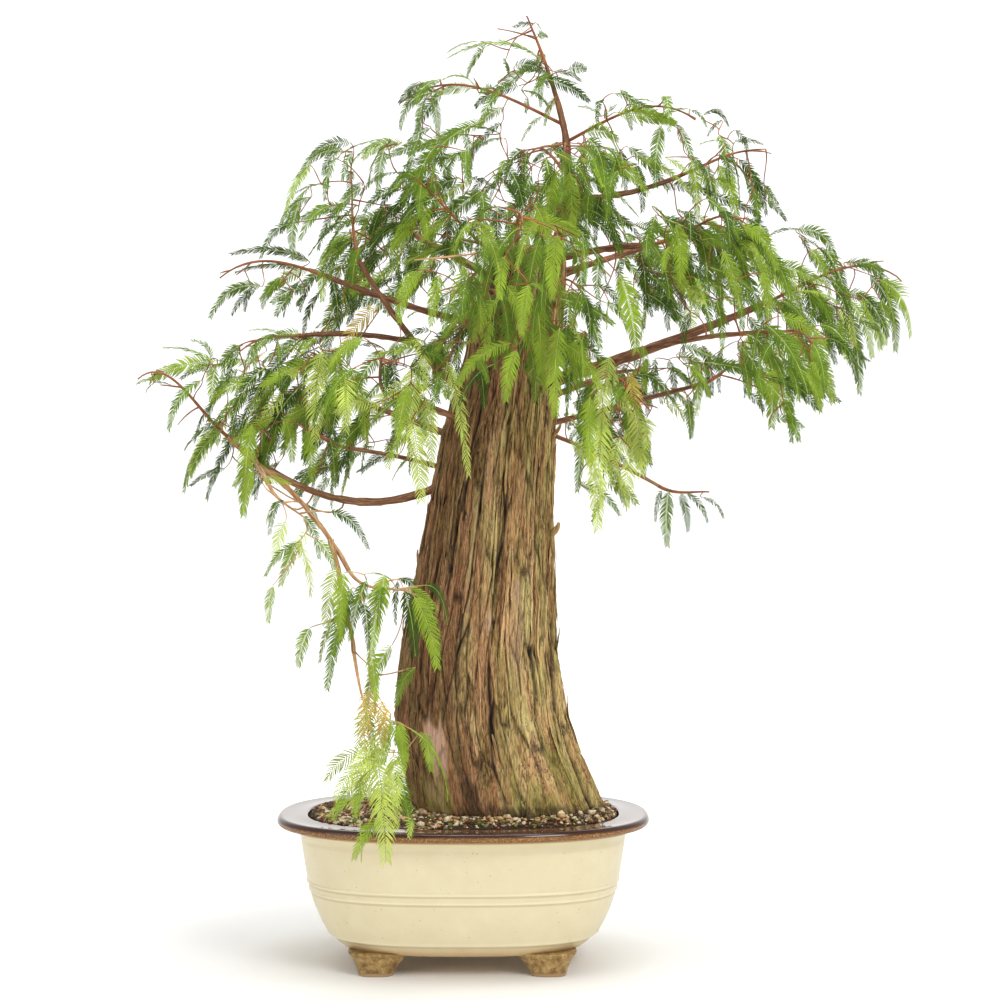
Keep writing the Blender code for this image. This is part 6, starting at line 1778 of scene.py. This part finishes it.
def build_feet():
    """Four bracket feet: superellipses that flare from the sole up to the bowl as height to the
    power 1.6, with the sole's and the top's edges eased."""
    material = foot_material()
    heights = np.linspace(0.0, 1.0, FOOT_RINGS)
    rows = []
    for t in heights:
        ease = 1.0 - 0.06 * math.exp(-t / 0.04) - 0.04 * smooth((t - 0.93) / 0.07)
        length_half, depth_half = ((sole + flare * t ** 1.6) * ease
                                   for sole, flare in zip(FOOT_SOLE_HALF, FOOT_FLARE))
        rows.append((t * FOOT_HEIGHT, length_half, depth_half, FOOT_SQUARENESS))
    out = FOOT_SPLAY * (1.0 - heights[:, None])
    for row, side_y in (("front", -1), ("back", 1)):
        for column, side_x in (("left", -1), ("right", 1)):
            rings = ring_stack(rows, FOOT_AROUND)
            rings[..., 0] += POT_X + side_x * (FOOT_REACH[0] + out)
            rings[..., 1] += side_y * (FOOT_REACH[1] + out)
            vertices, faces = skin(rings)
            name = row + "_" + column
            obj = put("bracket_foot_" + name, vertices, faces, material)
            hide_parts("pot_foot_" + name)


# ---------------------------------------------------------------- soil
SOIL_HALF = (0.1410, 0.1065)      # half length and half depth of the soil's edge
SOIL_UNDER = 0.118                # how far down its wall goes
MOUND_HALF = (0.096, 0.088)       # half sizes of the mound's flat top
GRAINS_HALF = (0.1395, 0.1045)    # grains are dealt over this much
GRAINS_CLEAR = 0.084              # and further than this from the trunk's middle
BED_RINGS = 40
LARGE_GRAINS = (0.03, 1.9)        # what part of the pale grains is larger, and how many times
# kind of grain, its colour and its part of all grains
GRIT = (("tan", "be9a69", 0.20), ("buff", "dccba6", 0.14), ("brown", "553f28", 0.38),
        ("red", "84492f", 0.12), ("grey", "8d8577", 0.08), ("moss", "6d7a35", 0.08))

# the few large grains in front of the trunk: place and half size
LUMPS = ((-0.022, -0.089, 0.0042), (-0.013, -0.091, 0.0038), (-0.017, -0.083, 0.0040),
         (-0.007, -0.087, 0.0030), (-0.030, -0.085, 0.0027), (0.034, -0.080, 0.0030))


def inside_oval(x, y, half_length, half_depth):
    """How far inside the pot's plan a place is: 1 less each side's share to the squareness."""
    return (1.0 - np.abs(x / half_length) ** RIM_SQUARENESS
            - np.abs(y / half_depth) ** RIM_SQUARENESS)


def icosahedron():
    """A ball of 12 corners and 20 triangles: three golden rectangles at right angles."""
    golden = (1.0 + 5.0 ** 0.5) / 2.0
    corners = np.array([(-1, golden, 0), (1, golden, 0), (-1, -golden, 0), (1, -golden, 0),
                        (0, -1, golden), (0, 1, golden), (0, -1, -golden), (0, 1, -golden),
                        (golden, 0, -1), (golden, 0, 1), (-golden, 0, -1), (-golden, 0, 1)])
    faces = np.array(((0, 11, 5), (0, 5, 1), (0, 1, 7), (0, 7, 10), (0, 10, 11), (1, 5, 9),
                      (5, 11, 4), (11, 10, 2), (10, 7, 6), (7, 1, 8), (3, 9, 4), (3, 4, 2),
                      (3, 2, 6), (3, 6, 8), (3, 8, 9), (4, 9, 5), (2, 4, 11), (6, 2, 10),
                      (8, 6, 7), (9, 8, 1)))
    return unit(corners.astype(float)), faces


def soil_height(x, y):
    """Height of the soil: a low mound round the trunk that falls to the wall as a smoothstep."""
    near = np.hypot((x - TRUNK_ROWS[0, 1]) / MOUND_HALF[0], y / MOUND_HALF[1])
    fall = smooth((near - 1.0) / 0.45)
    bumps = 0.8 * MM * np.sin(x / 0.011 + 1.0) * np.sin(y / 0.009)
    edge = inside_oval(x - POT_X, y, *SOIL_HALF)
    height = SOIL_TOP - 0.6 * MM - (SOIL_TOP - SOIL_EDGE - 3.2 * MM) * fall + bumps
    return np.minimum(height, RIM_TOP - 1.6 * MM + 32.0 * MM * np.maximum(edge, 0.0))


def build_soil():
    """The damp bed, a grid of rings that shrink to its middle, and the loose grains on it: balls
    of 20 triangles, pushed in and out, squashed and turned at random, half sunk in the bed."""
    s = settings("pot")
    scales = np.linspace(1.0, 0.0, BED_RINGS)[:-1]
    a, b = oval(*SOIL_HALF, RIM_SQUARENESS, POT_AROUND)
    x = POT_X + a[None] * scales[:, None]
    y = b[None] * scales[:, None]
    z = soil_height(x, y) + 0.5 * MM * ripple(x / 0.004, y / 0.004, 999, 8)
    top = np.stack((x, y, z), axis=-1)
    wall = np.stack((x[:1], y[:1], np.full_like(x[:1], SOIL_UNDER)), axis=-1)
    vertices, faces = skin(np.concatenate((wall, top)))
    # damp soil: dark, dull and rough
    obj = put("soil_bed", vertices, faces,
              mottled("damp_soil", s.soil, 0.95, 0.5, 300.0, bump_mm=1.0))
    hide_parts("soil")
    rng = np.random.default_rng(55)
    ball, sides = icosahedron()
    for name, code, part in GRIT:
        count = int(s.grains * part)
        spread = rng.uniform(-1.0, 1.0, (count * 6, 2)) * GRAINS_HALF
        x, y = spread[:, 0] + POT_X, spread[:, 1]
        inside = inside_oval(*spread.T, *(half - 0.2 * MM for half in GRAINS_HALF)) > 0
        clear = np.hypot(x - TRUNK_ROWS[0, 1], y / TRUNK_DEPTH) > GRAINS_CLEAR
        x, y = x[inside & clear][:count], y[inside & clear][:count]
        count = len(x)
        size = s.grain * rng.lognormal(0.0, 0.32, count)
        if name in ("tan", "buff"):
            large = rng.uniform(size=count) < LARGE_GRAINS[0]
            size = size * np.where(large, LARGE_GRAINS[1], 1.0)
        if name == "tan":
            lumps = np.array(LUMPS)
            x[:len(lumps)], y[:len(lumps)], size[:len(lumps)] = lumps.T
        shape = 1.0 + 0.30 * rng.normal(0.0, 1.0, (count, len(ball), 1)).clip(-1.5, 1.5)
        squash = rng.uniform((0.75, 0.6, 0.45), (1.2, 1.0, 0.8), (count, 3))[:, None]
        local = ball[None] * shape * squash * size[:, None, None]
        turn = rng.uniform(0.0, 2.0 * math.pi, count)
        c, n = np.cos(turn)[:, None], np.sin(turn)[:, None]
        spun = np.stack((local[..., 0] * c - local[..., 1] * n,
                         local[..., 0] * n + local[..., 1] * c, local[..., 2]), axis=-1)
        z = soil_height(x, y) + size * rng.uniform(0.05, 0.65, count)
        vertices = spun + np.stack((x, y, z), axis=1)[:, None]
        faces = sides[None] + (np.arange(count) * len(ball))[:, None, None]
        # grit of fired clay, pumice and lava: dry, dull and pitted
        obj = put("grit_" + name, vertices.reshape(-1, 3), [faces.reshape(-1, 3)],
                  mottled("grit_" + name, linear(code), 0.85, 0.3, 500.0, bump_mm=0.4), flat=True)


# ---------------------------------------------------------------- stage
FLOOR_FROM, FLOOR_TO, FLOOR_HALF, WALL_TOP = -4.0, 3.0, 6.0, 6.0
BEND = 1.5                        # radius of the bend from floor to wall
ROOM = 0.60                       # strength of the white room's own light
LENS = 74.34                      # mm of lens over 36 mm of film: 0.92 m across at the trunk
AIM = (0.0, 0.0, 0.45)
WALL_AIM = (0.0, 4.5, 0.45)
# soft square lights: place, aim, watts and side
LIGHTS = (("key_light", (1.5, -2.3, 2.1), AIM, 44.0, 1.2),
          ("fill_light", (-2.2, -1.9, 1.0), AIM, 12.0, 2.0),
          ("top_light", (0.1, -0.2, 2.7), AIM, 36.0, 1.4),
          ("wall_light", (0.0, 1.2, 2.2), WALL_AIM, 56.0, 2.0))


def build_stage():
    """A pale floor that bends up into a wall by a quarter circle, soft lights and the camera."""
    bend = np.linspace(0.0, math.pi / 2.0, 16)
    run = np.concatenate(([FLOOR_FROM], FLOOR_TO + BEND * np.sin(bend), [FLOOR_TO + BEND]))
    rise = np.concatenate(([0.0], BEND - BEND * np.cos(bend), [WALL_TOP]))
    y, x = np.meshgrid(run, (-FLOOR_HALF, FLOOR_HALF), indexing="ij")
    z = np.repeat(rise[:, None], 2, axis=1)
    vertices = np.stack((x, y, z), axis=-1).reshape(-1, 3)
    k = np.arange(len(run) - 1)
    quads = np.stack((2 * k, 2 * k + 1, 2 * k + 3, 2 * k + 2), axis=1)
    # backdrop paper: pale, without gloss
    paper, tree, shader = blank("pale_paper", 0.95)
    shader.inputs["Base Color"].default_value = TONES["paper"]
    floor = put("studio_floor", vertices, [quads], paper)
    scene = bpy.context.scene
    world = bpy.data.worlds.new("soft_room")
    scene.world = world
    world.use_nodes = True
    ground = world.node_tree.nodes["Background"]
    ground.inputs["Color"].default_value = (1.0, 1.0, 1.0, 1.0)
    ground.inputs["Strength"].default_value = ROOM
    for name, place, aim, power, size in LIGHTS:
        lamp = bpy.data.lights.new(name, "AREA")
        lamp.energy = power
        lamp.size = size
        obj = bpy.data.objects.new(name, lamp)
        obj.location = place
        x, y, z = np.array(aim) - np.array(place)
        obj.rotation_euler = (math.atan2(math.hypot(x, y), -z), 0.0, math.atan2(-x, y))
        scene.collection.objects.link(obj)
    camera = bpy.data.cameras.new("front_camera")
    camera.sensor_width = 36.0
    camera.lens = LENS
    eye = bpy.data.objects.new("front_camera", camera)
    eye.location = EYE
    eye.rotation_euler = (math.pi / 2.0, 0.0, 0.0)
    scene.collection.objects.link(eye)
    scene.camera = eye
    scene.view_settings.view_transform = "Standard"


# ---------------------------------------------------------------- operators and panel
class CypressTrunk(bpy.types.Operator):
    """Build the trunk's bark and its loose strips"""
    bl_idname = "cypress.trunk"
    bl_label = "Trunk"

    def execute(self, context):
        build_trunk()
        build_strips()
        return {"FINISHED"}


class CypressBoughs(bpy.types.Operator):
    """Build the leader and the boughs"""
    bl_idname = "cypress.boughs"
    bl_label = "Boughs"

    def execute(self, context):
        build_boughs()
        return {"FINISHED"}


class CypressTwigs(bpy.types.Operator):
    """Build the twigs of every mass of foliage"""
    bl_idname = "cypress.twigs"
    bl_label = "Twigs"

    def execute(self, context):
        build_twigs()
        return {"FINISHED"}


class CypressNeedles(bpy.types.Operator):
    """Build the sprays of needles"""
    bl_idname = "cypress.needles"
    bl_label = "Needles"

    def execute(self, context):
        build_needles()
        return {"FINISHED"}


class CypressBowl(bpy.types.Operator):
    """Build the glazed bowl and its feet"""
    bl_idname = "cypress.bowl"
    bl_label = "Pot"

    def execute(self, context):
        build_pot()
        build_feet()
        return {"FINISHED"}


class CypressSoil(bpy.types.Operator):
    """Build the soil bed and its grit"""
    bl_idname = "cypress.soil"
    bl_label = "Soil"

    def execute(self, context):
        build_soil()
        return {"FINISHED"}


class CypressStage(bpy.types.Operator):
    """Build the floor, the lights and the camera"""
    bl_idname = "cypress.stage"
    bl_label = "Stage"

    def execute(self, context):
        build_stage()
        return {"FINISHED"}


STEPS = (CypressTrunk, CypressBoughs, CypressTwigs, CypressNeedles, CypressBowl, CypressSoil,
         CypressStage)
GROUPS = {"bark": CypressBark, "foliage": CypressFoliage, "pot": CypressPot}


class CypressPanel(bpy.types.Panel):
    """Lists the steps that dress the tree and the settings that they use"""
    bl_idname = "VIEW3D_PT_cypress"
    bl_label = "Bald cypress bonsai"
    bl_space_type = "VIEW_3D"
    bl_region_type = "UI"
    bl_category = "Cypress"

    def draw(self, context):
        for step in STEPS:
            self.layout.operator(step.bl_idname)
        for name in GROUPS:
            group = settings(name)
            box = self.layout.box()
            for key in GROUPS[name].__annotations__:
                box.prop(group, key)


def register():
    """Register the groups of settings, the operators and the panel."""
    for name, group in GROUPS.items():
        bpy.utils.register_class(group)
        setattr(bpy.types.Scene, "cypress_" + name, PointerProperty(type=group))
    for cls in (*STEPS, CypressPanel):
        bpy.utils.register_class(cls)


def unregister():
    """Take away what register added."""
    for cls in reversed((*STEPS, CypressPanel)):
        bpy.utils.unregister_class(cls)
    for name, group in GROUPS.items():
        delattr(bpy.types.Scene, "cypress_" + name)
        bpy.utils.unregister_class(group)


def main():
    """Dress the tree step by step."""
    register()
    for step in STEPS:
        group, name = step.bl_idname.split(".")
        getattr(getattr(bpy.ops, group), name)()


if __name__ == "__main__":
    main()
